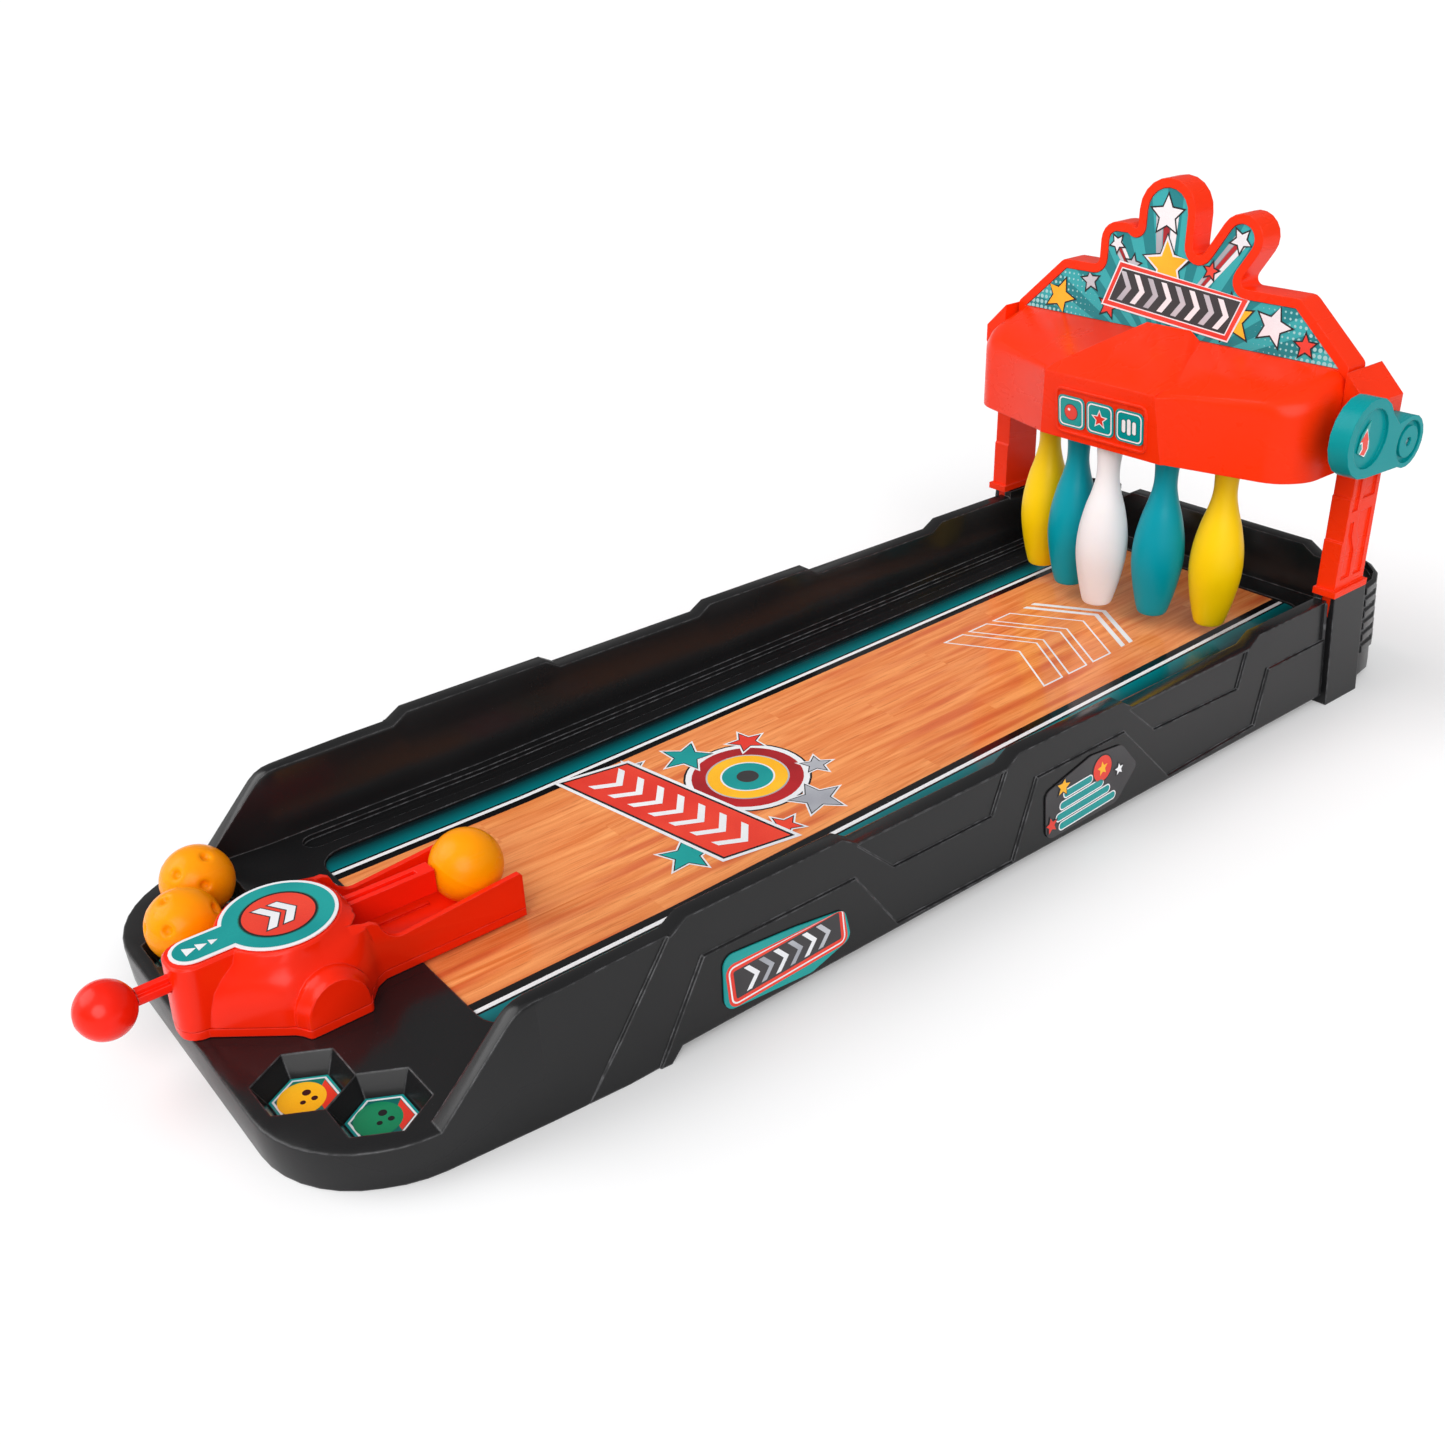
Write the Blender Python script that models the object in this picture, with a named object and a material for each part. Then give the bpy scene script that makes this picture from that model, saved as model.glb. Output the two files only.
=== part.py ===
"""Kids' tabletop bowling set: tray and lane, spring launcher, five swinging pins and a reset lever.

Metres, +Z up. The lane runs along +Y from the launcher to the pins. All places below are measured
from the middle of the tray's front edge, on the table; the root empty then moves the whole set so
that the middle of its footprint is the origin.
"""

import math

import bmesh
import bpy
from mathutils import Matrix, Vector

# Clearances
FIT = 0.0003
RUNNING = 0.0005
OVERRUN = 0.002
WELD = 0.000002
MILLIMETRE = 0.001

# Tray
TRAY_LENGTH = 0.628
RIM_HALF = 0.110
RIM_WIDTH = 0.0086
RIM_LOW = 0.0512
RIM_HIGH = 0.0559
RIM_ROUND = 0.0018
WALL_FLARE = 0.0045
WALL_INNER_LEAN = 0.0022
SKIN = 0.0020
BELT_PROUD = 0.0013
PANEL_STEP = 0.0013
PANEL_EDGE_RUN = 0.0012
FRONT_CORNER_R = 0.050
REAR_CORNER_R = 0.036
DECK_Z = 0.017
DECK_EDGE_R = 0.0022
FOOT_LIFT = 0.0055
FRONT_FOOT_SHARE = 0.2213
LEAN_FULL_Y = 0.100
FRONT_TUCK_SHARE = -0.45
WALL_FRONT_Y = 0.0495
WALL_RAMP_DEGREES = 46
WALL_RAMP_BEND = 0.015
RIM_STEP_RUN = 0.0075
REAR_HIGH_MARGIN = 0.009
REAR_HIGH_HALF = RIM_HALF - REAR_CORNER_R - REAR_HIGH_MARGIN
LANE_LEVEL_END = 0.185
LANE_RISE_SHARE = 0.0262

# Lane recess, gutters and pockets
LANE_DEPTH = 0.0019
LANE_FRONT_Y = 0.0895
LANE_TO_REAR = 0.026
LANE_REAR_Y = TRAY_LENGTH - LANE_TO_REAR
LANE_TO_RIM = 0.0345
LANE_HALF = RIM_HALF - LANE_TO_RIM
LANE_CORNER_R = 0.012
GUTTER_TO_RIM = 0.0214
GUTTER_X = RIM_HALF - GUTTER_TO_RIM
GUTTER_WIDTH = 0.0115
GUTTER_DEPTH = 0.0024
GUTTER_FRONT_Y = 0.090
GUTTER_TO_REAR = 0.038
GUTTER_REAR_Y = TRAY_LENGTH - GUTTER_TO_REAR
POCKET_TO_RIM = 0.056
POCKET_X = RIM_HALF - POCKET_TO_RIM
POCKET_Y = 0.0245
POCKET_STEP_X = 0.027
POCKET_STEP_Y = 0.016
POCKET_TOP_R = 0.0182
POCKET_FLOOR_R = 0.0133
POCKET_FLOOR_Z = 0.0082

# Post blocks and the ribbed rear corners
BLOCK_TO_REAR = 0.068
BLOCK_FRONT_Y = TRAY_LENGTH - BLOCK_TO_REAR
BLOCK_DEPTH = 0.028
BLOCK_REAR_Y = BLOCK_FRONT_Y + BLOCK_DEPTH
BLOCK_TOP_Z = 0.0595
BLOCK_PROUD = 0.003
BLOCK_HALF = RIM_HALF + BLOCK_PROUD
BLOCK_FLARE = 0.005
BLOCK_TO_RIM = 0.0085
BLOCK_INNER_X = RIM_HALF - BLOCK_TO_RIM
BLOCK_SLOT = 0.0016
RIB_PITCH = 0.0064
RIB_COUNT = 6
RIB_PROUD = 0.0014
RIB_BOTTOM_Z = 0.017
RIB_START_SHARE = 0.3

# Stickers
LABEL_THICK = 0.0005

# Balls
BALL_D = 0.0307
BALL_DIMPLE_D = 0.0050
BALL_DIMPLE_DEPTH = 0.0014

# Launcher
SWIVEL_Y = 0.0454
BASE_PLATE_THICK = 0.0035
DISC_R = 0.0240
DISC_EDGE = 0.0009
NECK_HALF = 0.0101
NECK_FRONT_Y = 0.0004
NECK_FRONT_R = 0.0080
NECK_LEAN = 0.0014
HOUSING_TOP_Z = 0.0485
HOUSING_WALL = 0.0022
LABEL_MARGIN = 0.0020
BULGE_FRONT_Y = 0.0087
FLARE_HALF = 0.0308
FLARE_Y = 0.0341
BOSS_HALF = 0.0361
BOSS_FRONT_Y = 0.0367
BOSS_REAR_Y = 0.0615
BOSS_TOP_Z = 0.0376
BOSS_SPRING_Z = 0.0235
BOSS_FILLET = 0.0046
RAMP_HALF = 0.022
RAMP_WALL = 0.0024
RAMP_END_Y = 0.1366
RAMP_WALL_Z = 0.0378
RAMP_START_Y = 0.0738
RAMP_DIP_Y = 0.0835
RAMP_DIP_Z = 0.0334
RAIL_WIDTH = 0.0013
RAIL_HEIGHT = 0.0010
RAIL_X = 0.0062
PUSHER_WIDTH = 0.0072
PUSHER_HEIGHT = 0.0105
PUSHER_END_Y = 0.1080
ROD_Z = 0.0397
ROD_D = 0.0064
ROD_ARM = 0.0026
COLLAR_D = 0.0122
COLLAR_THICK = 0.0028
COLLAR_Y = 0.043
KNOB_Y = -0.0211
KNOB_D = 0.0224
SPRING_D = 0.0110
SPRING_WIRE = 0.0010
SPRING_TURNS = 8
PIVOT_D = 0.012
PIVOT_BORE = 0.0042
PIVOT_FLANGE_D = 0.019
PIVOT_FLANGE_THICK = 0.0016

# Pins and rack
PIN_SETBACK = 0.0095
PIN_ROW_STEP_Y = 0.0105
PIN_PITCH = 0.0285
PIN_HEIGHT = 0.100
PIN_D = 0.0268
PIN_LANE_GAP = 0.0098
PIN_AXLE_DROP = 0.0065
PIN_AXLE_D = 0.0030
RACK_PLATE = 0.0026
RACK_HEAD_ROOM = 0.0024
EAR_THICK = 0.0022
EAR_DEPTH = 0.010
EAR_BELOW = 0.0035
HEAD_ROOM_X = 0.0006

# Posts and hood
POST_THICK = 0.0100
POST_TO_RIM = 0.0065
POST_INNER_X = RIM_HALF - POST_TO_RIM
POST_OVERHANG = 0.0025
POST_FRONT_Y = BLOCK_FRONT_Y - POST_OVERHANG
POST_DEPTH = 0.0255
POST_STEP = 0.0008
POST_FLANGE_PROUD = 0.0016
POST_FLANGE_THICK = 0.0035
POST_TENON_LENGTH = 0.012
POST_TENON_INSET = 0.0028
POST_PANEL_DEPTH = 0.0010
BRACKET_Z = 0.127
BRACKET_REACH = 0.0133
BRACKET_END_X = POST_INNER_X + BRACKET_REACH
BRACKET_END_LOW_Z = 0.150
BRACKET_END_TOP_Z = 0.1592
BRACKET_TOP_Z = 0.1722
BRACKET_REAR_Y = POST_FRONT_Y + POST_DEPTH
BRACKET_PROUD_RIGHT = 0.0045
BRACKET_PROUD_LEFT = 0.0085
HOOD_BOTTOM_Z = 0.1225
HEADER_FRONT_Y = POST_FRONT_Y
HOOD_GAP = 0.0005
HOOD_REAR_Y = HEADER_FRONT_Y - HOOD_GAP
HOOD_DEPTH = 0.0485
HOOD_FRONT_Y = HOOD_REAR_Y - HOOD_DEPTH
HOOD_HALF = POST_INNER_X - FIT
HOOD_CORNER_RUN = 0.0265
HOOD_CORNER_Y = HOOD_FRONT_Y + HOOD_CORNER_RUN
HOOD_BEND_IN = 0.0102
HOOD_BEND_HALF = HOOD_HALF - HOOD_BEND_IN
HOOD_BEND_RUN = 0.0135
HOOD_BEND_Y = HOOD_FRONT_Y + HOOD_BEND_RUN
HOOD_BEND_R = 0.021
PIN_TIP_Y = HOOD_FRONT_Y + PIN_SETBACK
HOOD_EDGE_Z = 0.1575
HOOD_RISE = 0.0140
HOOD_EDGE_DROP = 0.0085
HOOD_WALL = 0.0022
FACET_HALF = 0.0385
FACET_PROUD = 0.0045
FACET_CHAMFER = 0.0050
FACET_TOP_RISE = 0.0045
FACET_REAR_HALF = 0.0135
HOOD_LIP = 0.0012
ICON_SIZE = 0.0170
ICON_PITCH = 0.0184
ICON_ROW_X = 0.0017
ICON_ROW_Z = 0.1384
ICON_FRAME_HALF = 0.0286
ICON_FRAME_RISE = 0.0124
ICON_FRAME_WIDTH = 0.0012
ICON_FRAME_PROUD = 0.0009
ICON_PANEL_PROUD = 0.0001
ICON_FRAME_R = 0.0036

# Header board
HEADER_DEPTH = 0.0145
HEADER_GAP = 0.002
HEADER_HALF = POST_INNER_X - HEADER_GAP
HEADER_BASE_Z = 0.142
HEADER_WALL = 0.0024
HEADER_FRAME = 0.0046
HEADER_RECESS = 0.0013
SHOULDER_IN = 0.030
SHOULDER_HALF = HEADER_HALF - SHOULDER_IN
SHOULDER_LOW_Z = 0.1735
SHOULDER_Z = 0.2006
CENTRE_BUMP_X = -0.0084
CENTRE_BUMP_R = 0.0169
CENTRE_BUMP_Z = 0.2310
LEFT_BUMP_X = -0.0375
LEFT_BUMP_R = 0.0104
LEFT_BUMP_Z = 0.2131
RIGHT_BUMP_X = 0.0355
RIGHT_BUMP_R = 0.0120
RIGHT_BUMP_Z = 0.2235
RIGHT_BUMP_LEAN = 32

# Reset lever
SHAFT_SETBACK = 0.0185
SHAFT_Y = HEADER_FRONT_Y + SHAFT_SETBACK
SHAFT_Z = 0.1394
SHAFT_D = 0.006
LEVER_GAP = 0.0004
LEVER_INNER_X = BRACKET_END_X + LEVER_GAP
LEVER_THICK = 0.0100
LEVER_LOBE_R = 0.0190
LEVER_REACH = 0.035
LEVER_LOBE_Y = SHAFT_Y - LEVER_REACH
LEVER_LOBE_Z = 0.1485
LEVER_EYE_R = 0.0128
LEVER_DISH = 0.0016
LEVER_RIM = 0.0048
BLADE_REACH = 0.0104
BLADE_THICK = 0.0022
BLADE_HALF = 0.072
BLADE_REST_DEGREES = 45

# Facets on round pieces
ROUND_STEPS = 20
BALL_STEPS = 18
CORNER_STEPS = 5

COLOURS = {
    "black_plastic": ((0.012, 0.012, 0.013), 0.30),
    "orange_plastic": ((0.90, 0.065, 0.012), 0.32),
    "red_plastic": ((0.75, 0.030, 0.012), 0.35),
    "yellow_ball": ((0.95, 0.42, 0.015), 0.35),
    "teal_plastic": ((0.0, 0.25, 0.27), 0.35),
    "yellow_plastic": ((0.93, 0.70, 0.0), 0.35),
    "white_plastic": ((0.85, 0.86, 0.86), 0.35),
    "steel": ((0.55, 0.55, 0.56), 0.3),
    "wood_print": ((0.72, 0.38, 0.16), 0.4),
    "teal_print": ((0.03, 0.42, 0.42), 0.4),
}


def material(name):
    """The named finish, made once."""
    found = bpy.data.materials.get(name)
    if found:
        return found
    colour, roughness = COLOURS[name]
    made = bpy.data.materials.new(name)
    made.use_nodes = True
    shader = made.node_tree.nodes["Principled BSDF"]
    shader.inputs["Base Color"].default_value = (*colour, 1)
    shader.inputs["Roughness"].default_value = roughness
    shader.inputs["Metallic"].default_value = 1 if name == "steel" else 0
    return made


def clear_scene():
    for old in list(bpy.data.objects):
        bpy.data.objects.remove(old, do_unlink=True)


def empty(name, place, parent=None):
    """A marker that moving pieces hang from, at a joint's axis."""
    made = bpy.data.objects.new(name, None)
    bpy.context.scene.collection.objects.link(made)
    made.parent = parent
    made.location = Vector(place) - (Vector(parent["place"]) if parent else Vector((0, 0, 0)))
    made["place"] = place
    return made


def add(name, mesh, finish, parent, origin=None):
    """Makes an object of a mesh drawn in the set's frame, with its origin on its parent's axis."""
    origin = Vector(origin if origin is not None else parent["place"])
    bmesh.ops.recalc_face_normals(mesh, faces=mesh.faces)
    bmesh.ops.translate(mesh, vec=-origin, verts=mesh.verts)
    data = bpy.data.meshes.new(name)
    mesh.to_mesh(data)
    mesh.free()
    data.materials.append(material(finish))
    data.shade_smooth()
    data.set_sharp_from_angle(angle=math.radians(32))
    made = bpy.data.objects.new(name, data)
    bpy.context.scene.collection.objects.link(made)
    made.parent = parent
    made.location = origin - Vector(parent["place"])
    return made


def combine(first, second, operation):
    """The two meshes joined, cut or crossed by a Boolean, as one new mesh."""
    pair = []
    for mesh in (first, second):
        bmesh.ops.recalc_face_normals(mesh, faces=mesh.faces)
        data = bpy.data.meshes.new("operand")
        mesh.to_mesh(data)
        mesh.free()
        made = bpy.data.objects.new("operand", data)
        bpy.context.scene.collection.objects.link(made)
        pair.append(made)
    boolean = pair[0].modifiers.new("cut", "BOOLEAN")
    boolean.object = pair[1]
    boolean.operation = operation
    graph = bpy.context.evaluated_depsgraph_get()
    result = bmesh.new()
    result.from_mesh(pair[0].evaluated_get(graph).to_mesh())
    for made in pair:
        bpy.data.objects.remove(made, do_unlink=True)
    bmesh.ops.remove_doubles(result, verts=result.verts, dist=WELD)
    bmesh.ops.dissolve_degenerate(result, edges=result.edges, dist=WELD)
    return result


def union(first, *others):
    for other in others:
        first = combine(first, other, "UNION")
    return first


def cut(first, *others):
    for other in others:
        first = combine(first, other, "DIFFERENCE")
    return first


def cross(first, second):
    return combine(first, second, "INTERSECT")


def loft(rings, closed=False):
    """Skins rings of equal point count; the ends are capped unless the loft closes on itself."""
    mesh = bmesh.new()
    rows = [[mesh.verts.new(point) for point in ring] for ring in rings]
    count = len(rows[0])
    pairs = list(zip(rows, rows[1:]))
    if closed:
        pairs.append((rows[-1], rows[0]))
    for low, high in pairs:
        for i in range(count):
            j = (i + 1) % count
            mesh.faces.new((low[i], low[j], high[j], high[i]))
    if not closed:
        mesh.faces.new(rows[0][::-1])
        mesh.faces.new(rows[-1])
    bmesh.ops.recalc_face_normals(mesh, faces=mesh.faces)
    return mesh


def prism(outline, low, high, axis="z"):
    """An outline pushed from low to high along an axis; its points are the other two coordinates."""
    order = {
        "x": lambda p, level: (level, p[0], p[1]),
        "y": lambda p, level: (p[0], level, p[1]),
        "z": lambda p, level: (p[0], p[1], level),
    }[axis]
    return loft([[order(p, level) for p in outline] for level in (low, high)])


def box(low, high):
    outline = [(low[0], low[1]), (high[0], low[1]), (high[0], high[1]), (low[0], high[1])]
    return prism(outline, low[2], high[2])


def turned(profile, steps=ROUND_STEPS):
    """A profile of (radius, height) pairs spun about +Z; its end points lie on the axis."""
    mesh = bmesh.new()
    verts = [mesh.verts.new((radius, 0, height)) for radius, height in profile]
    edges = [mesh.edges.new(pair) for pair in zip(verts, verts[1:])]
    bmesh.ops.spin(
        mesh,
        geom=verts + edges,
        cent=(0, 0, 0),
        axis=(0, 0, 1),
        angle=math.tau,
        steps=steps,
        use_merge=True,
    )
    tallest = max(abs(height) for _, height in profile)
    bmesh.ops.remove_doubles(mesh, verts=mesh.verts, dist=tallest * 1e-4)
    bmesh.ops.recalc_face_normals(mesh, faces=mesh.faces)
    return mesh


def moved(mesh, place=(0, 0, 0), turn=(0, 0, 0)):
    """The mesh turned by degrees about X, Y and Z, then moved."""
    for degrees, axis in zip(turn, "XYZ"):
        if degrees:
            spin = Matrix.Rotation(math.radians(degrees), 3, axis)
            bmesh.ops.rotate(mesh, cent=(0, 0, 0), matrix=spin, verts=mesh.verts)
    bmesh.ops.translate(mesh, vec=place, verts=mesh.verts)
    return mesh


def rod(diameter, low, high, axis="z", at=(0, 0), steps=ROUND_STEPS):
    """A round bar along an axis, centred on the other two coordinates."""
    radius = diameter / 2
    outline = [
        (at[0] + radius * math.cos(turn), at[1] + radius * math.sin(turn))
        for turn in (math.tau * i / steps for i in range(steps))
    ]
    return prism(outline, low, high, axis)


def rounded(corners, steps=CORNER_STEPS):
    """An outline from (x, y, radius) corners, each rounded by an arc of its radius."""
    points = []
    for i, (x, y, radius) in enumerate(corners):
        here = Vector((x, y))
        before = (Vector(corners[i - 1][:2]) - here).normalized()
        after = (Vector(corners[(i + 1) % len(corners)][:2]) - here).normalized()
        half = before.angle(after) / 2
        if radius == 0 or half > math.radians(89):
            points.append((x, y))
            continue
        centre = here + (before + after).normalized() * radius / math.sin(half)
        first = here + before * radius / math.tan(half) - centre
        last = here + after * radius / math.tan(half) - centre
        sweep = first.angle_signed(last)
        count = max(1, round(steps * abs(sweep) / (math.pi / 2)))
        for step in range(count + 1):
            turn = Matrix.Rotation(-sweep * step / count, 2)
            points.append(tuple(centre + turn @ first))
    return points


def inset(corners, distance):
    """Corners of the same outline moved inwards; it runs anticlockwise, and a dent has a radius too."""
    made = []
    sharpest_share = 0.2
    for i, (x, y, radius) in enumerate(corners):
        here = Vector((x, y))
        back = (here - Vector(corners[i - 1][:2])).normalized()
        on = (Vector(corners[(i + 1) % len(corners)][:2]) - here).normalized()
        left_back = Vector((-back.y, back.x))
        left_on = Vector((-on.y, on.x))
        mitre = (left_back + left_on).normalized()
        place = here + mitre * distance / max(mitre.dot(left_on), sharpest_share)
        turn = back.x * on.y - back.y * on.x
        grown = radius - distance if turn > 0 else radius + distance
        made.append((place.x, place.y, max(grown, 0) if radius else 0))
    return made


# Tray


def floor_z(y):
    """The flat floor beside the lane: level at the front, then a gentle climb."""
    return DECK_Z + LANE_RISE_SHARE * max(0, y - LANE_LEVEL_END)


def ramp_profile():
    """Side view of a wall's front end: a straight climb, then a bend onto the low rim."""
    angle = math.radians(WALL_RAMP_DEGREES)
    climb = RIM_LOW - DECK_Z
    bend_run = WALL_RAMP_BEND * math.tan(angle / 2)
    corner = WALL_FRONT_Y + climb / math.tan(angle)
    points = [(WALL_FRONT_Y, DECK_Z)]
    for i in range(4):
        turn = angle * (1 - i / 3)
        points.append(
            (
                corner + bend_run - WALL_RAMP_BEND * math.sin(turn),
                RIM_LOW - WALL_RAMP_BEND * (1 - math.cos(turn)),
            )
        )
    return points


def side_rim():
    """(y, height) of the rim along one side, from the deck to the start of the rear corner."""
    high_rim_shares = ((0.2325, 0.3768), (0.5135, 0.6455), (0.7874, None))
    points = ramp_profile()
    for start_share, end_share in high_rim_shares:
        start = start_share * TRAY_LENGTH
        points += [(start, RIM_LOW), (start + RIM_STEP_RUN, RIM_HIGH)]
        if end_share:
            end = end_share * TRAY_LENGTH
            points += [(end - RIM_STEP_RUN, RIM_HIGH), (end, RIM_LOW)]
    points += [(BLOCK_FRONT_Y, RIM_HIGH), (BLOCK_REAR_Y, RIM_LOW)]
    return points


def wall_path():
    """Stations round half the tray, from the front middle to the rear middle.

    Each is (x, y, outward x, outward y, rim height, bottom height).
    """
    stations = [(0, 0, 0, -1, DECK_Z, 0)]
    centre_x, centre_y = RIM_HALF - FRONT_CORNER_R, FRONT_CORNER_R
    for i in range(CORNER_STEPS * 2 + 1):
        turn = math.pi / 2 * (i / (CORNER_STEPS * 2) - 1)
        out = (math.cos(turn), math.sin(turn))
        x = centre_x + FRONT_CORNER_R * out[0]
        y = centre_y + FRONT_CORNER_R * out[1]
        if y < WALL_FRONT_Y:
            stations.append((x, y, *out, DECK_Z, 0))
    foot_end = FRONT_FOOT_SHARE * TRAY_LENGTH
    for y, height in side_rim():
        stations.append((RIM_HALF, y, 1, 0, height, 0 if y < foot_end else FOOT_LIFT))
    stations.append((RIM_HALF, foot_end, 1, 0, RIM_LOW, 0))
    stations.append((RIM_HALF, foot_end + FOOT_LIFT, 1, 0, RIM_LOW, FOOT_LIFT))
    stations.sort(key=lambda station: station[1])
    centre_x, centre_y = RIM_HALF - REAR_CORNER_R, TRAY_LENGTH - REAR_CORNER_R
    for i in range(CORNER_STEPS + 1):
        turn = math.pi / 2 * i / CORNER_STEPS
        out = (math.cos(turn), math.sin(turn))
        x = centre_x + REAR_CORNER_R * out[0]
        y = centre_y + REAR_CORNER_R * out[1]
        stations.append((x, y, *out, RIM_LOW, FOOT_LIFT))
    stations.append((REAR_HIGH_HALF, TRAY_LENGTH, 0, 1, RIM_LOW, FOOT_LIFT))
    stations.append((REAR_HIGH_HALF - RIM_STEP_RUN, TRAY_LENGTH, 0, 1, RIM_HIGH, FOOT_LIFT))
    stations.append((0, TRAY_LENGTH, 0, 1, RIM_HIGH, FOOT_LIFT))
    return stations


def lean_share(y):
    """How far a wall's foot leans out: tucked in at the front, full where the side walls start."""
    span = LEAN_FULL_Y - FRONT_CORNER_R
    return min(1, max(FRONT_TUCK_SHARE, (y - FRONT_CORNER_R) / span))


def wall_section(station):
    """The moulded wall's hollow section at a station, as points in the set's frame."""
    x, y, out_x, out_y, top, bottom = station
    level = min(floor_z(y), top)
    edge = min(RIM_ROUND, (top - level) / 2 + DECK_EDGE_R / 2)
    inner_skin = -RIM_WIDTH + SKIN
    outer_skin = -SKIN - PANEL_STEP - BELT_PROUD

    lean = WALL_FLARE * lean_share(y)
    proud = BELT_PROUD if lean_share(y) == 1 else BELT_PROUD - 2 * PANEL_STEP

    def flare(height):
        return lean * (1 - height / RIM_LOW)

    under = level - SKIN - RIM_ROUND / 2
    inner_edge = min(RIM_ROUND, (top - level) / 2)
    section = [
        (proud + flare(bottom), bottom),
        (proud + flare(top - edge), top - edge),
        (proud + flare(top) - edge * 0.3, top - edge * 0.3),
        (proud + flare(top) - edge, top),
        (RIM_ROUND - RIM_WIDTH, top),
        (RIM_ROUND * 0.3 - RIM_WIDTH, top - inner_edge * 0.3),
        (-RIM_WIDTH, top - inner_edge),
        (-RIM_WIDTH - WALL_INNER_LEAN, level - SKIN / 2),
        (-RIM_WIDTH - WALL_INNER_LEAN, under),
        (inner_skin - WALL_INNER_LEAN, under),
        (inner_skin, top - SKIN),
        (outer_skin, top - SKIN),
        (outer_skin + flare(bottom), bottom),
    ]
    return [(x + out_x * off, y + out_y * off, height) for off, height in section]


def tray_walls():
    """The rim, walls and skirt, swept once round the tray."""
    half = wall_path()
    other = [(-x, y, -out_x, out_y, top, bottom) for x, y, out_x, out_y, top, bottom in half]
    return loft([wall_section(s) for s in half + other[-2:0:-1]], closed=True)


def plan_outline(offset):
    """The tray's outline in plan, moved outwards by offset."""
    half = [(x + out_x * offset, y + out_y * offset) for x, y, out_x, out_y, _, _ in wall_path()]
    trimmed = [p for i, p in enumerate(half) if i == 0 or p != half[i - 1]]
    return trimmed + [(-x, y) for x, y in trimmed[-2:0:-1]]


def floor_slab(top_drop, bottom_drop, outline):
    """A plate that follows the floor, between two depths under it, trimmed to an outline."""
    ends = (-OVERRUN, LANE_LEVEL_END, TRAY_LENGTH + OVERRUN)
    upper = [(y, floor_z(y) - top_drop) for y in ends]
    lower = [(y, floor_z(y) - bottom_drop) for y in reversed(ends)]
    plate = prism(upper + lower, -RIM_HALF - OVERRUN, RIM_HALF + OVERRUN, "x")
    return cross(plate, prism(outline, -OVERRUN, RIM_HIGH))


def lane_outline(margin):
    """The lane's rounded outline in plan, shrunk by a margin."""
    half = LANE_HALF - margin
    front, rear = LANE_FRONT_Y + margin, LANE_REAR_Y - margin
    radius = LANE_CORNER_R - margin
    corners = [(-half, front, radius), (half, front, radius)]
    corners += [(half, rear, radius), (-half, rear, radius)]
    return rounded(corners)


def gutter(side, top_drop, bottom_drop, margin):
    """The shallow round-ended groove beside the lane, or with a margin the wall under it."""
    half = GUTTER_WIDTH / 2 + margin
    x = side * GUTTER_X
    front, rear = GUTTER_FRONT_Y - margin, GUTTER_REAR_Y + margin
    radius = half * 0.99
    corners = [(x - half, front, radius), (x + half, front, radius)]
    corners += [(x + half, rear, radius), (x - half, rear, radius)]
    return floor_slab(top_drop, bottom_drop, rounded(corners, 3))


def pocket_centres():
    """The two ball pockets on each side of the deck."""
    near = [(side * POCKET_X, POCKET_Y) for side in (-1, 1)]
    far = [(side * (POCKET_X + POCKET_STEP_X), POCKET_Y + POCKET_STEP_Y) for side in (-1, 1)]
    return near + far


def hexagon(centre, radius, height):
    return [
        (
            centre[0] + radius * math.cos(math.tau * i / 6),
            centre[1] + radius * math.sin(math.tau * i / 6),
            height,
        )
        for i in range(6)
    ]


def pocket_cup(centre, skin):
    """A six-sided cup that narrows downwards: the hollow itself, or with a skin the wall round it."""
    slant = (POCKET_TOP_R - POCKET_FLOOR_R) / (DECK_Z - POCKET_FLOOR_Z)
    top = DECK_Z + (OVERRUN if skin == 0 else -SKIN * 0.6)
    bottom = POCKET_FLOOR_Z - skin
    rings = [
        hexagon(centre, POCKET_FLOOR_R + skin + slant * (z - POCKET_FLOOR_Z), z)
        for z in (bottom, top)
    ]
    return loft(rings)


def post_block(side):
    """The tapered block at the rear of a side wall that carries a post."""
    rings = []
    for z, flare in ((0, BLOCK_FLARE), (BLOCK_TOP_Z, 0)):
        outer = BLOCK_HALF + flare
        rings.append(
            [
                (side * BLOCK_INNER_X, BLOCK_FRONT_Y, z),
                (side * outer, BLOCK_FRONT_Y, z),
                (side * outer, BLOCK_REAR_Y, z),
                (side * BLOCK_INNER_X, BLOCK_REAR_Y, z),
            ]
        )
    return loft(rings)


def block_slot(side):
    """The narrow gap in front of a post block, on its outer side."""
    outer = BLOCK_HALF + BLOCK_FLARE + OVERRUN
    inner = RIM_HALF - SKIN / 2
    low = (min(side * inner, side * outer), BLOCK_FRONT_Y - BLOCK_SLOT, -OVERRUN)
    high = (max(side * inner, side * outer), BLOCK_FRONT_Y, RIM_HIGH + OVERRUN)
    return box(low, high)


def tenon_box(side, margin, bottom, top):
    """The post's foot inside its block, or with a margin the socket for it."""
    inset_by = POST_TENON_INSET - margin
    low_x = POST_INNER_X + inset_by
    high_x = POST_INNER_X + POST_THICK - inset_by
    low = (min(side * low_x, side * high_x), POST_FRONT_Y + inset_by, bottom)
    high = (max(side * low_x, side * high_x), POST_FRONT_Y + POST_DEPTH - inset_by, top)
    return box(low, high)


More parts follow.
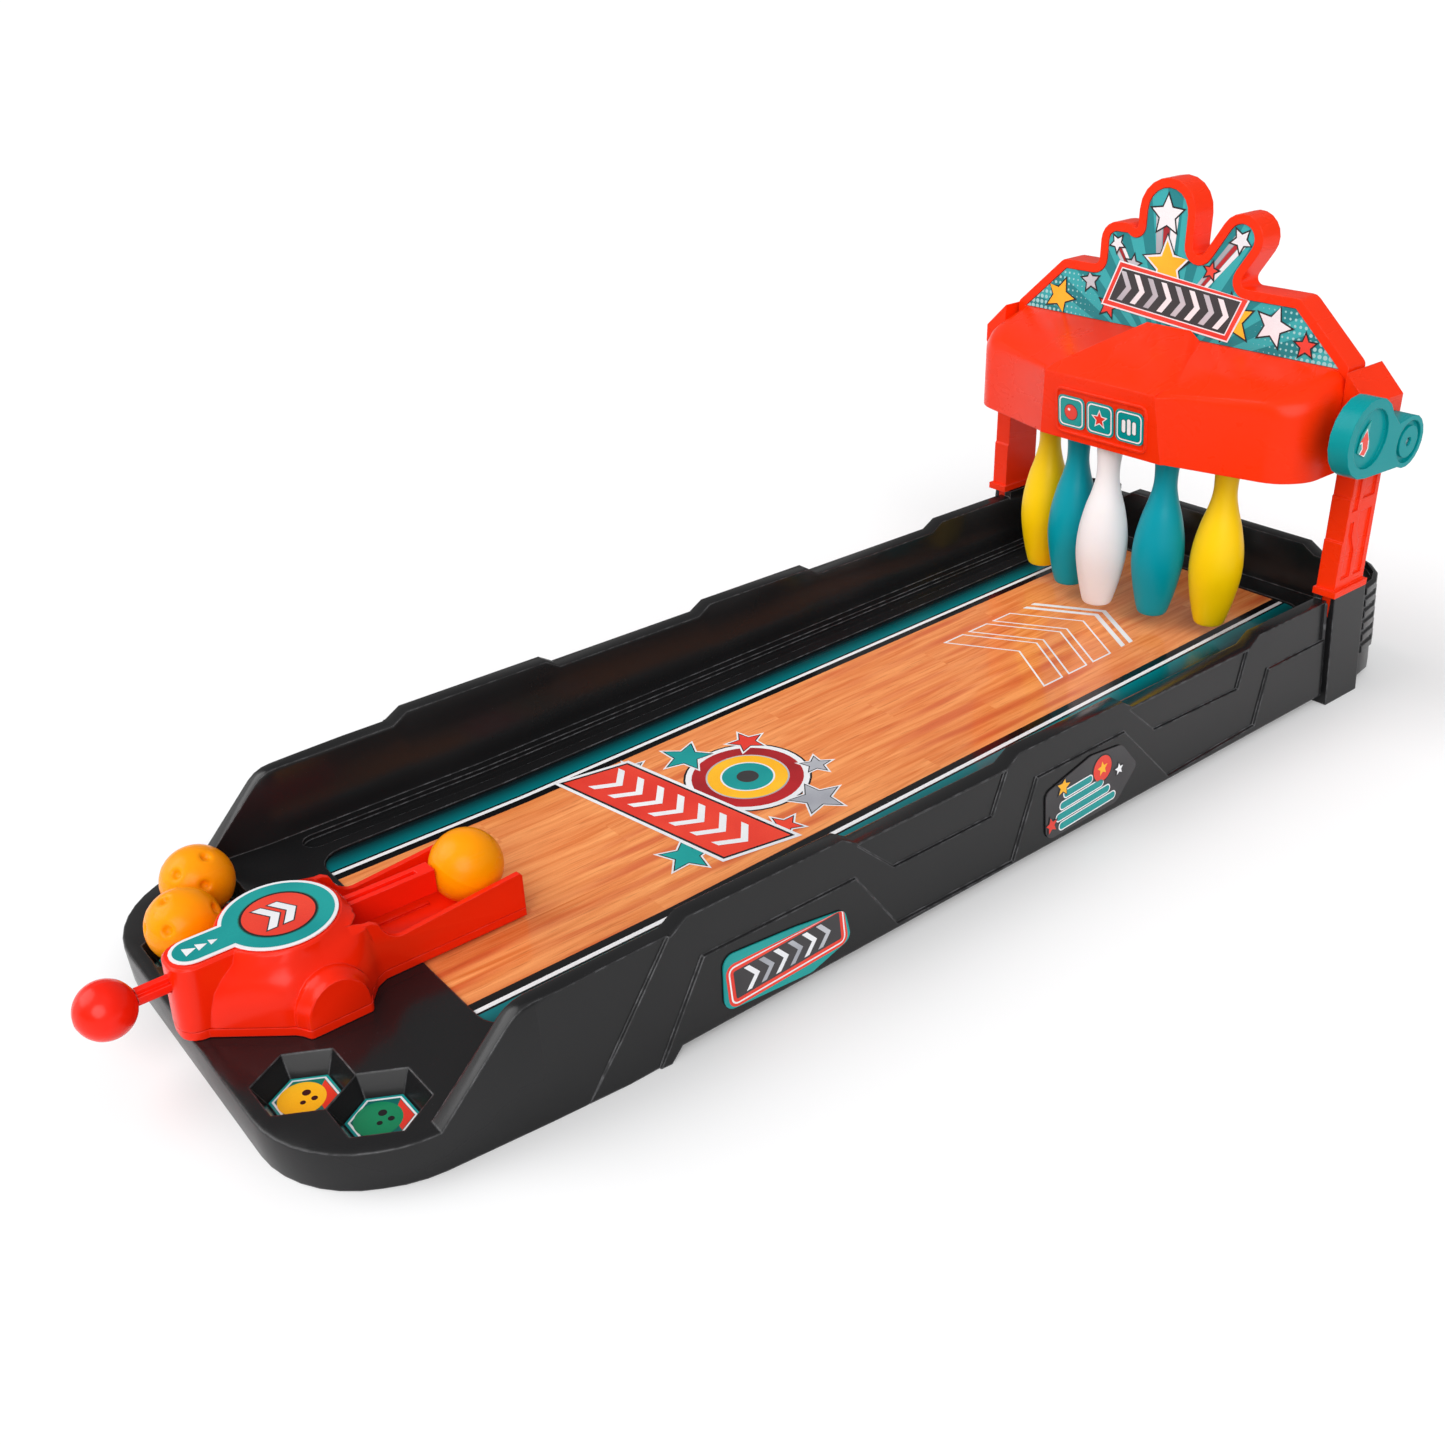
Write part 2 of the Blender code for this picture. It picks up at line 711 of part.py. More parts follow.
def corner_ribs(side):
    """Level ribs round a rear corner of the tray."""
    comb = [(-SKIN / 2, RIB_BOTTOM_Z)]
    for i in range(RIB_COUNT):
        z = RIB_BOTTOM_Z + i * RIB_PITCH
        comb += [(-RIB_PROUD / 4, z + RIB_PITCH * 0.1)]
        comb += [(RIB_PROUD, z + RIB_PITCH * RIB_START_SHARE)]
        comb += [(RIB_PROUD, z + RIB_PITCH * 0.8), (-RIB_PROUD / 4, z + RIB_PITCH * 0.98)]
    top = RIB_BOTTOM_Z + RIB_COUNT * RIB_PITCH - RIB_PITCH * 0.02
    comb += [(-SKIN / 2, top)]
    rings = []
    for i in range(CORNER_STEPS + 1):
        turn = math.pi / 2 * i / CORNER_STEPS
        out_x, out_y = math.cos(turn), math.sin(turn)
        ring = []
        for off, z in comb:
            reach = REAR_CORNER_R + BELT_PROUD + WALL_FLARE * (1 - z / RIM_LOW) + off
            x = RIM_HALF - REAR_CORNER_R + reach * out_x
            ring.append((side * x, TRAY_LENGTH - REAR_CORNER_R + reach * out_y, z))
        rings.append(ring)
    return loft(rings)


def side_panel(side, outline_shares, depth):
    """A shallow recess in a side wall, to a depth from its proudest face, with sloped edges.

    The outline is in shares of the tray's length and of the low rim's height.
    """
    corners = [(y * TRAY_LENGTH, z * RIM_LOW, 0) for y, z in outline_shares]
    wide = inset(corners, -PANEL_EDGE_RUN)
    rings = []
    for ring, reach in ((corners, BELT_PROUD - depth), (wide, BELT_PROUD + OVERRUN)):
        rings.append(
            [(side * (RIM_HALF + reach + WALL_FLARE * (1 - z / RIM_LOW)), y, z) for y, z, _ in ring]
        )
    return loft(rings)


def panelled_wall_cuts(side):
    """The stepped panels of a side wall: a front panel, the wall above the belt and two windows."""
    above_belt_shares = [
        (0.05, -0.2), (0.203, -0.2), (0.2516, 0.737), (0.3726, 0.731), (0.406, 0.143),
        (0.516, 0.127), (0.5414, 0.801), (0.6354, 0.812), (0.688, 0.139), (0.7962, 0.176),
        (0.8122, 0.703), (0.8885, 0.703), (0.8885, 1.3), (0.05, 1.3),
    ]
    front_panel_shares = [
        (0.05, -0.2), (0.157, -0.2), (0.1672, 0.02), (0.2338, 1.05), (0.2338, 1.3), (0.05, 1.3),
    ]
    window_shares = (
        [(0.3774, 0.975), (0.407, 0.639), (0.4984, 0.633), (0.5127, 0.975)],
        [(0.6433, 0.975), (0.672, 0.664), (0.7744, 0.635), (0.785, 0.975)],
    )
    cuts = [side_panel(side, above_belt_shares, PANEL_STEP)]
    cuts.append(side_panel(side, front_panel_shares, 2 * PANEL_STEP))
    cuts += [side_panel(side, shares, 2 * PANEL_STEP) for shares in window_shares]
    return cuts


def make_tray(parent):
    """One moulding: walls, floor, pocket cups, post blocks and ribs, then everything cut from it."""
    body = union(tray_walls(), floor_slab(0, SKIN, plan_outline(SKIN / 2 - RIM_WIDTH)))
    body = union(body, floor_slab(SKIN / 2, LANE_DEPTH + SKIN, lane_outline(-SKIN)))
    for side in (-1, 1):
        body = union(body, gutter(side, SKIN / 2, GUTTER_DEPTH + SKIN, SKIN))
    for centre in pocket_centres():
        body = union(body, pocket_cup(centre, SKIN))
    body = cut(body, *(pocket_cup(centre, 0) for centre in pocket_centres()))
    body = cut(body, floor_slab(-OVERRUN, LANE_DEPTH, lane_outline(0)))
    for side in (-1, 1):
        body = cut(body, gutter(side, -OVERRUN, GUTTER_DEPTH, 0), *panelled_wall_cuts(side))
        body = union(body, post_block(side), corner_ribs(side))
        socket_floor = BLOCK_TOP_Z - POST_TENON_LENGTH - FIT
        body = cut(body, block_slot(side))
        body = cut(body, tenon_box(side, FIT, socket_floor, BLOCK_TOP_Z + OVERRUN))
    pivot_hole = rod(PIVOT_D + 2 * FIT, 0, DECK_Z + OVERRUN, at=(0, SWIVEL_Y))
    return add("tray", cut(body, pivot_hole), "black_plastic", parent)


def make_lane_label(parent):
    """The printed sheet that lies in the lane's recess."""
    outline = lane_outline(FIT)
    lift = LANE_DEPTH - FIT
    sheet = floor_slab(lift - LABEL_THICK, lift, outline)
    return add("lane_decal", sheet, "wood_print", parent)


def make_pocket_labels(parent):
    names = ("inner_left", "inner_right", "outer_left", "outer_right")
    for name, centre in zip(names, pocket_centres()):
        low = POCKET_FLOOR_Z + FIT
        rings = [hexagon(centre, POCKET_FLOOR_R - FIT, z) for z in (low, low + LABEL_THICK)]
        add(f"pocket_decal_{name}", loft(rings), "teal_print", parent)


def make_side_badge(parent, name, corner_shares):
    """A printed badge on the right wall's belt, as a plate that leans with the wall."""
    corners = [(y * TRAY_LENGTH, z * RIM_LOW, r * RIM_LOW) for y, z, r in corner_shares]
    rings = []
    for lift in (FIT, FIT + LABEL_THICK):
        rings.append(
            [
                (RIM_HALF + BELT_PROUD + lift + WALL_FLARE * (1 - z / RIM_LOW), y, z)
                for y, z in rounded(corners)
            ]
        )
    add(name, loft(rings), "teal_print", parent)


def make_side_badges(parent):
    first_shares = [
        (0.2615, 0.20, 0.10), (0.3300, 0.14, 0.10), (0.3640, 0.26, 0.08),
        (0.3600, 0.53, 0.08), (0.3200, 0.60, 0.10), (0.2640, 0.66, 0.10),
    ]
    second_shares = [
        (0.5480, 0.16, 0.10), (0.6250, 0.18, 0.10), (0.6480, 0.45, 0.06),
        (0.6300, 0.72, 0.12), (0.5960, 0.76, 0.12), (0.5480, 0.62, 0.08),
    ]
    make_side_badge(parent, "side_badge_front", first_shares)
    make_side_badge(parent, "side_badge_rear", second_shares)


# Balls


def sphere(radius):
    mesh = bmesh.new()
    rows = BALL_STEPS // 2 + 1
    bmesh.ops.create_uvsphere(mesh, u_segments=BALL_STEPS, v_segments=rows, radius=radius)
    return mesh


def ball_mesh(centre, dimples):
    """A play ball with round dimples, each given by its turn about Z and its tilt from it in degrees."""
    mesh = sphere(BALL_D / 2)
    depth = BALL_D / 2 - BALL_DIMPLE_DEPTH
    for turn, tilt in dimples:
        drill = rod(BALL_DIMPLE_D, depth, BALL_D, steps=8)
        mesh = cut(mesh, moved(drill, turn=(0, tilt, turn)))
    return moved(mesh, centre)


def pocket_ball_centre(index):
    """A ball rests on the slanting walls of its pocket."""
    x, y = ((-POCKET_X, POCKET_Y), (-POCKET_X - POCKET_STEP_X, POCKET_Y + POCKET_STEP_Y))[index]
    run = (POCKET_TOP_R - POCKET_FLOOR_R) * math.cos(math.pi / 6)
    slope = math.atan(run / (DECK_Z - POCKET_FLOOR_Z))
    flat = POCKET_FLOOR_R * math.cos(math.pi / 6)
    rest = (BALL_D / 2 + FIT - flat * math.cos(slope)) / math.sin(slope)
    clear = max(rest, BALL_D / 2 + 2 * FIT + LABEL_THICK)
    return (x, y, POCKET_FLOOR_Z + clear)


def make_spare_balls(root):
    balls = (
        ("spare_ball_inner", ((-42, 63), (-95, 19), (-98, 75), (60, 65), (170, 60))),
        ("spare_ball_outer", ((-57, 47), (-4, 69), (34, 28), (120, 62), (215, 70))),
    )
    for index, (name, dimples) in enumerate(balls):
        centre = pocket_ball_centre(index)
        marker = empty(f"{name}_place", centre, root)
        add(name, ball_mesh(centre, dimples), "yellow_ball", marker)


# Launcher


def base_z():
    return DECK_Z + FIT


def plate_top_z():
    return base_z() + BASE_PLATE_THICK


def body_foot():
    """Right half of the body's foot, from inside the neck to inside the ramp's wall."""
    return [
        (NECK_HALF * 0.9, BULGE_FRONT_Y - NECK_HALF * 0.1, 0),
        (FLARE_HALF, FLARE_Y, NECK_HALF * 0.6),
        (FLARE_HALF, BOSS_REAR_Y + RAMP_WALL, NECK_HALF * 0.6),
        (RAMP_HALF + RAMP_WALL, RAMP_START_Y - 2 * RAMP_WALL, RAMP_WALL),
        (RAMP_HALF - RAMP_WALL / 2, RAMP_START_Y + RAMP_WALL, 0),
    ]


def mirrored(right):
    """A whole outline from the corners of its right half."""
    return right + [(-x, y, radius) for x, y, radius in reversed(right)]


def launcher_footprint():
    """The launcher's outline in plan, without the ramp: a round-ended neck, then the body and its bosses."""
    flare, *rear = body_foot()[1:]
    neck = [(NECK_HALF, NECK_FRONT_Y, NECK_FRONT_R), (NECK_HALF, BULGE_FRONT_Y, 0)]
    boss = [(BOSS_HALF, BOSS_FRONT_Y, NECK_HALF * 0.2), (BOSS_HALF, BOSS_REAR_Y, NECK_HALF * 0.2)]
    return mirrored([*neck, flare, *boss, *rear])


def disc_ring(radius):
    """Points round the swivel in even turns of angle, from the front."""
    steps = ROUND_STEPS * 2
    turns = [math.tau * i / steps for i in range(steps)]
    return [(radius * math.sin(turn), SWIVEL_Y - radius * math.cos(turn)) for turn in turns]


def star_outline(corners):
    """An outline sampled at the same turns of angle, from the swivel."""
    outline = rounded(corners)
    points = []
    centre = Vector((0, SWIVEL_Y))
    for place in disc_ring(DISC_R):
        ray = (Vector(place) - centre).normalized()
        best = 0
        for a, b in zip(outline, outline[1:] + outline[:1]):
            first, last = Vector(a) - centre, Vector(b) - centre
            run = last - first
            bottom = ray.x * run.y - ray.y * run.x
            if bottom == 0:
                continue
            along = (first.x * run.y - first.y * run.x) / bottom
            share = (first.x * ray.y - first.y * ray.x) / bottom
            if along > 0 and -1e-6 <= share <= 1 + 1e-6:
                best = max(best, along)
        points.append(tuple(centre + ray * best))
    return points


def body_crown():
    """Right half of the body's outline just under its round top: round in front, square at the ramp."""
    return [
        (DISC_R, SWIVEL_Y - DISC_R, DISC_R * 0.99),
        (RAMP_HALF + RAMP_WALL * 0.4, RAMP_START_Y - RAMP_WALL, 2 * RAMP_WALL),
    ]


def housing_body(wall):
    """The launcher's body, swelling from its foot in to the round top, shrunk by a wall."""
    foot = star_outline(inset(mirrored(body_foot()), wall))
    crown = star_outline(inset(mirrored(body_crown()), wall))
    low_z = plate_top_z() + (-OVERRUN if wall else FIT)
    high_z = HOUSING_TOP_Z - DISC_EDGE - wall
    swell_shares = ((0, 0), (0.25, 0.09), (0.50, 0.26), (0.69, 0.52), (0.85, 0.86))
    rings = []
    for height_share, blend_share in swell_shares:
        z = low_z + (high_z - low_z) * height_share
        pairs = zip(foot, crown)
        rings.append([(*Vector(a).lerp(Vector(b), blend_share), z) for a, b in pairs])
    rings.append([(x, y, high_z) for x, y in disc_ring(DISC_R - wall)])
    rings.append([(x, y, high_z + DISC_EDGE) for x, y in disc_ring(DISC_R - DISC_EDGE - wall)])
    return loft(rings)


def neck_column():
    """The upright, round-fronted neck that the plunger's rod runs through."""
    rear = SWIVEL_Y - DISC_R / 2
    levels = (
        (plate_top_z() + FIT, 0, 0),
        (HOUSING_TOP_Z - DISC_EDGE, NECK_LEAN, 0),
        (HOUSING_TOP_Z, NECK_LEAN, DISC_EDGE),
    )
    rings = []
    for z, lean, shrink in levels:
        front = (NECK_HALF - shrink, NECK_FRONT_Y + lean + shrink, NECK_FRONT_R - shrink)
        outline = rounded(mirrored([front, (NECK_HALF - shrink, rear, 0)]))
        rings.append([(x, y, z) for x, y in outline])
    return loft(rings)


def boss_arch(x, grown):
    """The arched outline of a boss, seen from the side, grown from the one on its face."""
    half = (BOSS_REAR_Y - BOSS_FRONT_Y) / 2 + grown
    middle = (BOSS_REAR_Y + BOSS_FRONT_Y) / 2
    rise = BOSS_TOP_Z - BOSS_SPRING_Z + grown / 2
    points = [(x, middle - half, plate_top_z() + FIT)]
    for i in range(13):
        turn = math.pi * i / 12
        points.append((x, middle - half * math.cos(turn), BOSS_SPRING_Z + rise * math.sin(turn)))
    points.append((x, middle + half, plate_top_z() + FIT))
    return points


def boss_mound(side):
    """The arched boss on a side of the body: a flat face with a round edge, then a hollow fillet."""
    fillet_shares = ((0, -0.20), (0.09, -0.06), (0.30, 0), (0.70, 0.16), (1.1, 0.58), (3, 0.58))
    return loft(
        [
            boss_arch(side * (BOSS_HALF - BOSS_FILLET * depth), BOSS_FILLET * grown)
            for depth, grown in fillet_shares
        ]
    )


def ramp_side(side):
    """A wall of the ramp, before the mouth trims it: it sweeps down from the body, then rises to its end."""
    low_z = plate_top_z() + FIT
    back = SWIVEL_Y + DISC_R * 0.65
    run = RAMP_DIP_Y - RAMP_START_Y
    drop = HOUSING_TOP_Z - HOUSING_WALL - RAMP_DIP_Z
    outline = [(back, low_z), (RAMP_END_Y, low_z)]
    outline += [(RAMP_END_Y, RAMP_WALL_Z - RAMP_WALL / 2), (RAMP_END_Y - RAMP_WALL / 2, RAMP_WALL_Z)]
    for i in range(7):
        turn = math.radians(72) * i / 6
        outline.append((RAMP_DIP_Y - run * math.sin(turn), RAMP_DIP_Z + drop * (1 - math.cos(turn))))
    shoulder_z = HOUSING_TOP_Z - 2 * HOUSING_WALL
    outline += [(RAMP_START_Y - RAMP_WALL, shoulder_z), (back, shoulder_z)]
    outer = side * RAMP_HALF
    inner = side * (RAMP_HALF - RAMP_WALL)
    return prism(outline, min(inner, outer), max(inner, outer), "x")


def front_wall_y():
    """The inner face of the neck's front wall."""
    return NECK_FRONT_Y + 2 * HOUSING_WALL


def make_housing(parent):
    """The launcher's upper shell: body, neck, bosses and ramp walls, open below and along the ramp."""
    body = union(housing_body(0), neck_column())
    body = union(body, boss_mound(-1), boss_mound(1))
    neck_half = NECK_HALF - HOUSING_WALL - FIT
    neck_hollow = box(
        (-neck_half, front_wall_y(), plate_top_z() - OVERRUN),
        (neck_half, SWIVEL_Y, HOUSING_TOP_Z - HOUSING_WALL - FIT),
    )
    mouth_half = RAMP_HALF - RAMP_WALL + FIT
    mouth = box(
        (-mouth_half, SWIVEL_Y + DISC_R / 2, plate_top_z() - OVERRUN),
        (mouth_half, RAMP_END_Y, ROD_Z + COLLAR_D / 2),
    )
    rod_hole = rod(
        ROD_D + 2 * RUNNING, NECK_FRONT_Y - OVERRUN, front_wall_y() + OVERRUN, "y", (0, ROD_Z)
    )
    hollow_end = box((-BOSS_HALF, 0, 0), (BOSS_HALF, SWIVEL_Y + DISC_R * 0.6, HOUSING_TOP_Z))
    hollow = union(cross(housing_body(HOUSING_WALL), hollow_end), neck_hollow)
    body = cut(body, hollow, mouth, rod_hole)
    body = union(body, ramp_side(-1), ramp_side(1))
    return add("launcher_housing", body, "orange_plastic", parent)


def make_base_plate(parent):
    """The plate under the launcher: its footprint, the ramp's floor with two rails, the swivel stub."""
    plate = prism(rounded(launcher_footprint()), base_z(), plate_top_z())
    tongue = box((-RAMP_HALF, SWIVEL_Y, base_z()), (RAMP_HALF, RAMP_END_Y, plate_top_z()))
    stub_bottom = DECK_Z - LANE_DEPTH - SKIN - FIT
    stub = rod(PIVOT_D, stub_bottom, base_z() + FIT, at=(0, SWIVEL_Y))
    body = union(plate, tongue, stub)
    for x in (-RAIL_X - RAIL_WIDTH, RAIL_X):
        low = (x, RAMP_START_Y, base_z() + BASE_PLATE_THICK / 2)
        high = (x + RAIL_WIDTH, PUSHER_END_Y, plate_top_z() + RAIL_HEIGHT)
        body = union(body, box(low, high))
    bore = rod(PIVOT_BORE + 2 * FIT, 0, plate_top_z() + OVERRUN, at=(0, SWIVEL_Y), steps=12)
    return add("launcher_base_plate", cut(body, bore), "orange_plastic", parent)


def make_swivel_screw(parent):
    """A flanged screw from below that keeps the launcher on the deck and lets it swing."""
    flange_top = DECK_Z - LANE_DEPTH - SKIN - 2 * FIT
    flange_low = flange_top - PIVOT_FLANGE_THICK
    profile = [(0, flange_low), (PIVOT_FLANGE_D / 2, flange_low), (PIVOT_FLANGE_D / 2, flange_top)]
    profile += [(PIVOT_BORE / 2, flange_top), (PIVOT_BORE / 2, plate_top_z()), (0, plate_top_z())]
    screw = moved(turned(profile[::-1], 16), (0, SWIVEL_Y, 0))
    return add("launcher_swivel_screw", screw, "steel", parent)


def key_outline(margin):
    """The keyhole outline inside the top's edge: a disc with a round-ended neck to the front."""
    radius = DISC_R - margin
    half = NECK_HALF - margin
    middle = NECK_FRONT_Y + NECK_LEAN + margin + half
    reach = math.asin(half / radius)
    points = []
    for i in range(ROUND_STEPS * 2 + 1):
        turn = reach + (math.tau - 2 * reach) * i / (ROUND_STEPS * 2)
        points.append((radius * math.sin(turn), SWIVEL_Y - radius * math.cos(turn)))
    for i in range(ROUND_STEPS // 2 + 1):
        turn = math.tau * i / ROUND_STEPS
        points.append((-half * math.cos(turn), middle - half * math.sin(turn)))
    return points


def make_launcher_label(parent):
    """The printed keyhole label on the launcher's top."""
    low = HOUSING_TOP_Z + FIT
    label = prism(key_outline(LABEL_MARGIN), low, low + LABEL_THICK)
    return add("launcher_decal", label, "teal_print", parent)


def make_plunger(parent):
    """Cross-shaped rod, round collar and slotted pusher in one piece; it slides through the launcher."""
    reach, arm = ROD_D / 2, ROD_ARM / 2
    quarter = [(reach, -arm), (reach, arm), (arm, arm)]
    outline = []
    for sin, cos in ((0, 1), (1, 0), (0, -1), (-1, 0)):
        outline += [(x * cos - z * sin, ROD_Z + x * sin + z * cos) for x, z in quarter]
    bar = prism(outline, KNOB_Y + KNOB_D / 4, COLLAR_Y + COLLAR_THICK / 2, "y")
    collar = rod(COLLAR_D, COLLAR_Y, COLLAR_Y + COLLAR_THICK, "y", (0, ROD_Z), 16)
    top = ROD_Z + PUSHER_HEIGHT * 0.3
    low = top - PUSHER_HEIGHT
    half = PUSHER_WIDTH / 2
    pusher = box((-half, COLLAR_Y + COLLAR_THICK / 2, low), (half, PUSHER_END_Y, top))
    slot = box(
        (-half * 0.35, COLLAR_Y + COLLAR_THICK + 2 * ROD_D, top - PUSHER_HEIGHT * 0.3),
        (half * 0.35, PUSHER_END_Y - ROD_D, top + OVERRUN),
    )
    body = union(bar, collar, cut(pusher, slot))
    return add("plunger", cut(body, ball_socket()), "red_plastic", parent)


def ball_socket():
    """The space that the knob takes on the rod's end."""
    return moved(sphere(KNOB_D / 2 + FIT), (0, KNOB_Y, ROD_Z))


def make_knob(parent):
    knob = moved(sphere(KNOB_D / 2), (0, KNOB_Y, ROD_Z))
    return add("plunger_knob", knob, "red_plastic", parent)


def least_gap(points):
    """The least gap of a wound wire to itself, from the points of its middle line."""
    turn = (len(points) - 1) // SPRING_TURNS
    apart = [
        (points[i] - points[j]).length
        for i in range(len(points))
        for j in range(i + turn // 2, len(points))
    ]
    return min(apart) - SPRING_WIRE


def make_spring(parent):
    """The wound spring between the neck's front wall and the collar."""
    start = front_wall_y() + SPRING_WIRE / 2 + FIT
    end = COLLAR_Y - SPRING_WIRE / 2 - FIT
    radius = (SPRING_D - SPRING_WIRE) / 2
    steps = SPRING_TURNS * 7
    points = []
    for i in range(steps + 1):
        turn = math.tau * SPRING_TURNS * i / steps
        y = start + (end - start) * i / steps
        points.append(Vector((radius * math.cos(turn), y, ROD_Z + radius * math.sin(turn))))
    print("spring: least gap between turns, mm", round(least_gap(points) / MILLIMETRE, 2))
    curve = bpy.data.curves.new("plunger_spring", "CURVE")
    curve.dimensions = "3D"
    curve.bevel_depth = SPRING_WIRE / 2
    curve.bevel_resolution = 1
    curve.use_fill_caps = True
    line = curve.splines.new("POLY")
    line.points.add(len(points) - 1)
    origin = Vector(parent["place"])
    for place, point in zip(line.points, points):
        place.co = (*(point - origin), 1)
    curve.materials.append(material("steel"))
    made = bpy.data.objects.new("plunger_spring", curve)
    bpy.context.scene.collection.objects.link(made)
    made.parent = parent


def ramp_ball_centre():
    return (0, PUSHER_END_Y + FIT + BALL_D / 2, plate_top_z() + FIT + BALL_D / 2)


def make_launcher(root):
    swivel = empty("launcher_swivel", (0, SWIVEL_Y, base_z()), root)
    make_base_plate(swivel)
    make_housing(swivel)
    make_swivel_screw(swivel)
    make_launcher_label(swivel)
    slide = empty("plunger_slide", (0, KNOB_Y, ROD_Z), swivel)
    make_plunger(slide)
    make_knob(slide)
    make_spring(swivel)
    centre = ramp_ball_centre()
    marker = empty("ramp_ball_place", centre, swivel)
    add("ramp_ball", ball_mesh(centre, ()), "yellow_ball", marker)


# Pins


def pin_places():
    """Each pin's name, x, y and colour: a shallow V with its tip towards the player."""
    rows = (
        ("white", 0, "white_plastic"),
        ("teal_left", -1, "teal_plastic"),
        ("teal_right", 1, "teal_plastic"),
        ("yellow_left", -2, "yellow_plastic"),
        ("yellow_right", 2, "yellow_plastic"),
    )
    return [(n, k * PIN_PITCH, PIN_TIP_Y + abs(k) * PIN_ROW_STEP_Y, c) for n, k, c in rows]


def pin_base_z():
    return floor_z(PIN_TIP_Y) - LANE_DEPTH + PIN_LANE_GAP


def pin_axle_z():
    return pin_base_z() + PIN_HEIGHT - PIN_AXLE_DROP


def pin_mesh(x, y):
    """A bowling pin turned from a profile, drilled near its top for its axle."""
    radius_shares = (0, 0.50, 0.60, 0.80, 0.96, 1.0, 0.94, 0.77, 0.57, 0.45, 0.45, 0.51, 0.51, 0.35, 0)
    height_shares = (0, 0, 0.015, 0.12, 0.24, 0.33, 0.43, 0.54, 0.63, 0.71, 0.79, 0.87, 0.945, 0.985, 1)
    half = PIN_D / 2
    profile = [(r * half, h * PIN_HEIGHT) for r, h in zip(radius_shares, height_shares)]
    body = moved(turned(profile[::-1], 16), (x, y, pin_base_z()))
    bore = rod(PIN_AXLE_D + 2 * FIT, x - PIN_D, x + PIN_D, "x", (y, pin_axle_z()), 10)
    return cut(body, bore)


def ear_inner():
    """From a pin's middle to the ear beside it."""
    return PIN_D / 2 * 0.50 + HEAD_ROOM_X


def make_pins(root):
    for name, x, y, finish in pin_places():
        axis = empty(f"pin_axis_{name}", (x, y, pin_axle_z()), root)
        add(f"pin_{name}", pin_mesh(x, y), finish, axis)
        reach = ear_inner() + EAR_THICK
        axle = rod(PIN_AXLE_D, x - reach, x + reach, "x", (y, pin_axle_z()), 10)
        add(f"pin_axle_{name}", axle, "steel", axis)


def rack_low_z():
    return pin_base_z() + PIN_HEIGHT + RACK_HEAD_ROOM


def rack_ear(y, low_x, high_x):
    """One of the two ears that hold a pin's axle, hanging from the rack's plate."""
    half = EAR_DEPTH / 2
    top = rack_low_z() + RACK_PLATE / 2
    bottom = pin_axle_z() - EAR_BELOW
    corners = [(y - half, top, 0), (y - half, bottom, half * 0.9)]
    corners += [(y + half, bottom, half * 0.9), (y + half, top, 0)]
    hole = rod(PIN_AXLE_D + 2 * FIT, low_x - OVERRUN, high_x + OVERRUN, "x", (y, pin_axle_z()), 10)
    return cut(prism(rounded(corners, 3), low_x, high_x, "x"), hole)


def make_rack(parent):
    """The plate inside the hood with a pair of ears for each pin."""
    low = rack_low_z()
    end = HOOD_HALF - HOOD_WALL - FIT
    front = PIN_TIP_Y - EAR_DEPTH / 2
    rear = HOOD_REAR_Y - FIT
    step = PIN_ROW_STEP_Y
    right = [
        (PIN_PITCH * 0.45, front, 0), (PIN_PITCH * 1.45, front + step, 0),
        (PIN_PITCH * 2.5, front + 2 * step, 0), (end, front + 3 * step, 0), (end, rear, 0),
    ]
    body = prism(rounded(mirrored(right)), low, low + RACK_PLATE)
    for _, x, y, _ in pin_places():
        for side in (-1, 1):
            ends = (x + side * ear_inner(), x + side * (ear_inner() + EAR_THICK))
            body = union(body, rack_ear(y, min(ends), max(ends)))
    return add("pin_rack", body, "black_plastic", parent)


# Hood


def hood_top_z(y):
    """The hood's sloping top, from its front edge up to the header."""
    return HOOD_EDGE_Z + HOOD_RISE * (y - HOOD_FRONT_Y) / (HOOD_REAR_Y - HOOD_FRONT_Y)


def hood_lobes(wall):
    """The rounded body of the hood, shrunk by a wall; its upper edge rolls in at the sides."""
    half = HOOD_HALF - wall
    rear = HOOD_REAR_Y + (OVERRUN if wall else 0)
    corners = [
        (half, rear, 0),
        (half, HOOD_CORNER_Y + wall, HOOD_BEND_R),
        (HOOD_BEND_HALF - wall, HOOD_BEND_Y + wall, HOOD_BEND_R),
        (FACET_HALF, HOOD_FRONT_Y + wall, 0),
    ]
    outline = rounded(mirrored(corners)[::-1], CORNER_STEPS * 2)
    rings = [[(x, y, HOOD_BOTTOM_Z - (OVERRUN if wall else 0)) for x, y in outline]]
    for drop_share, width_share in ((1, 1), (0.45, 0.975), (0.12, 0.94), (0, 0.90)):
        rings.append(
            [
                (x * width_share, y, hood_top_z(min(y, HOOD_REAR_Y)) - wall - HOOD_EDGE_DROP * drop_share)
                for x, y in outline
            ]
        )
    return loft(rings)


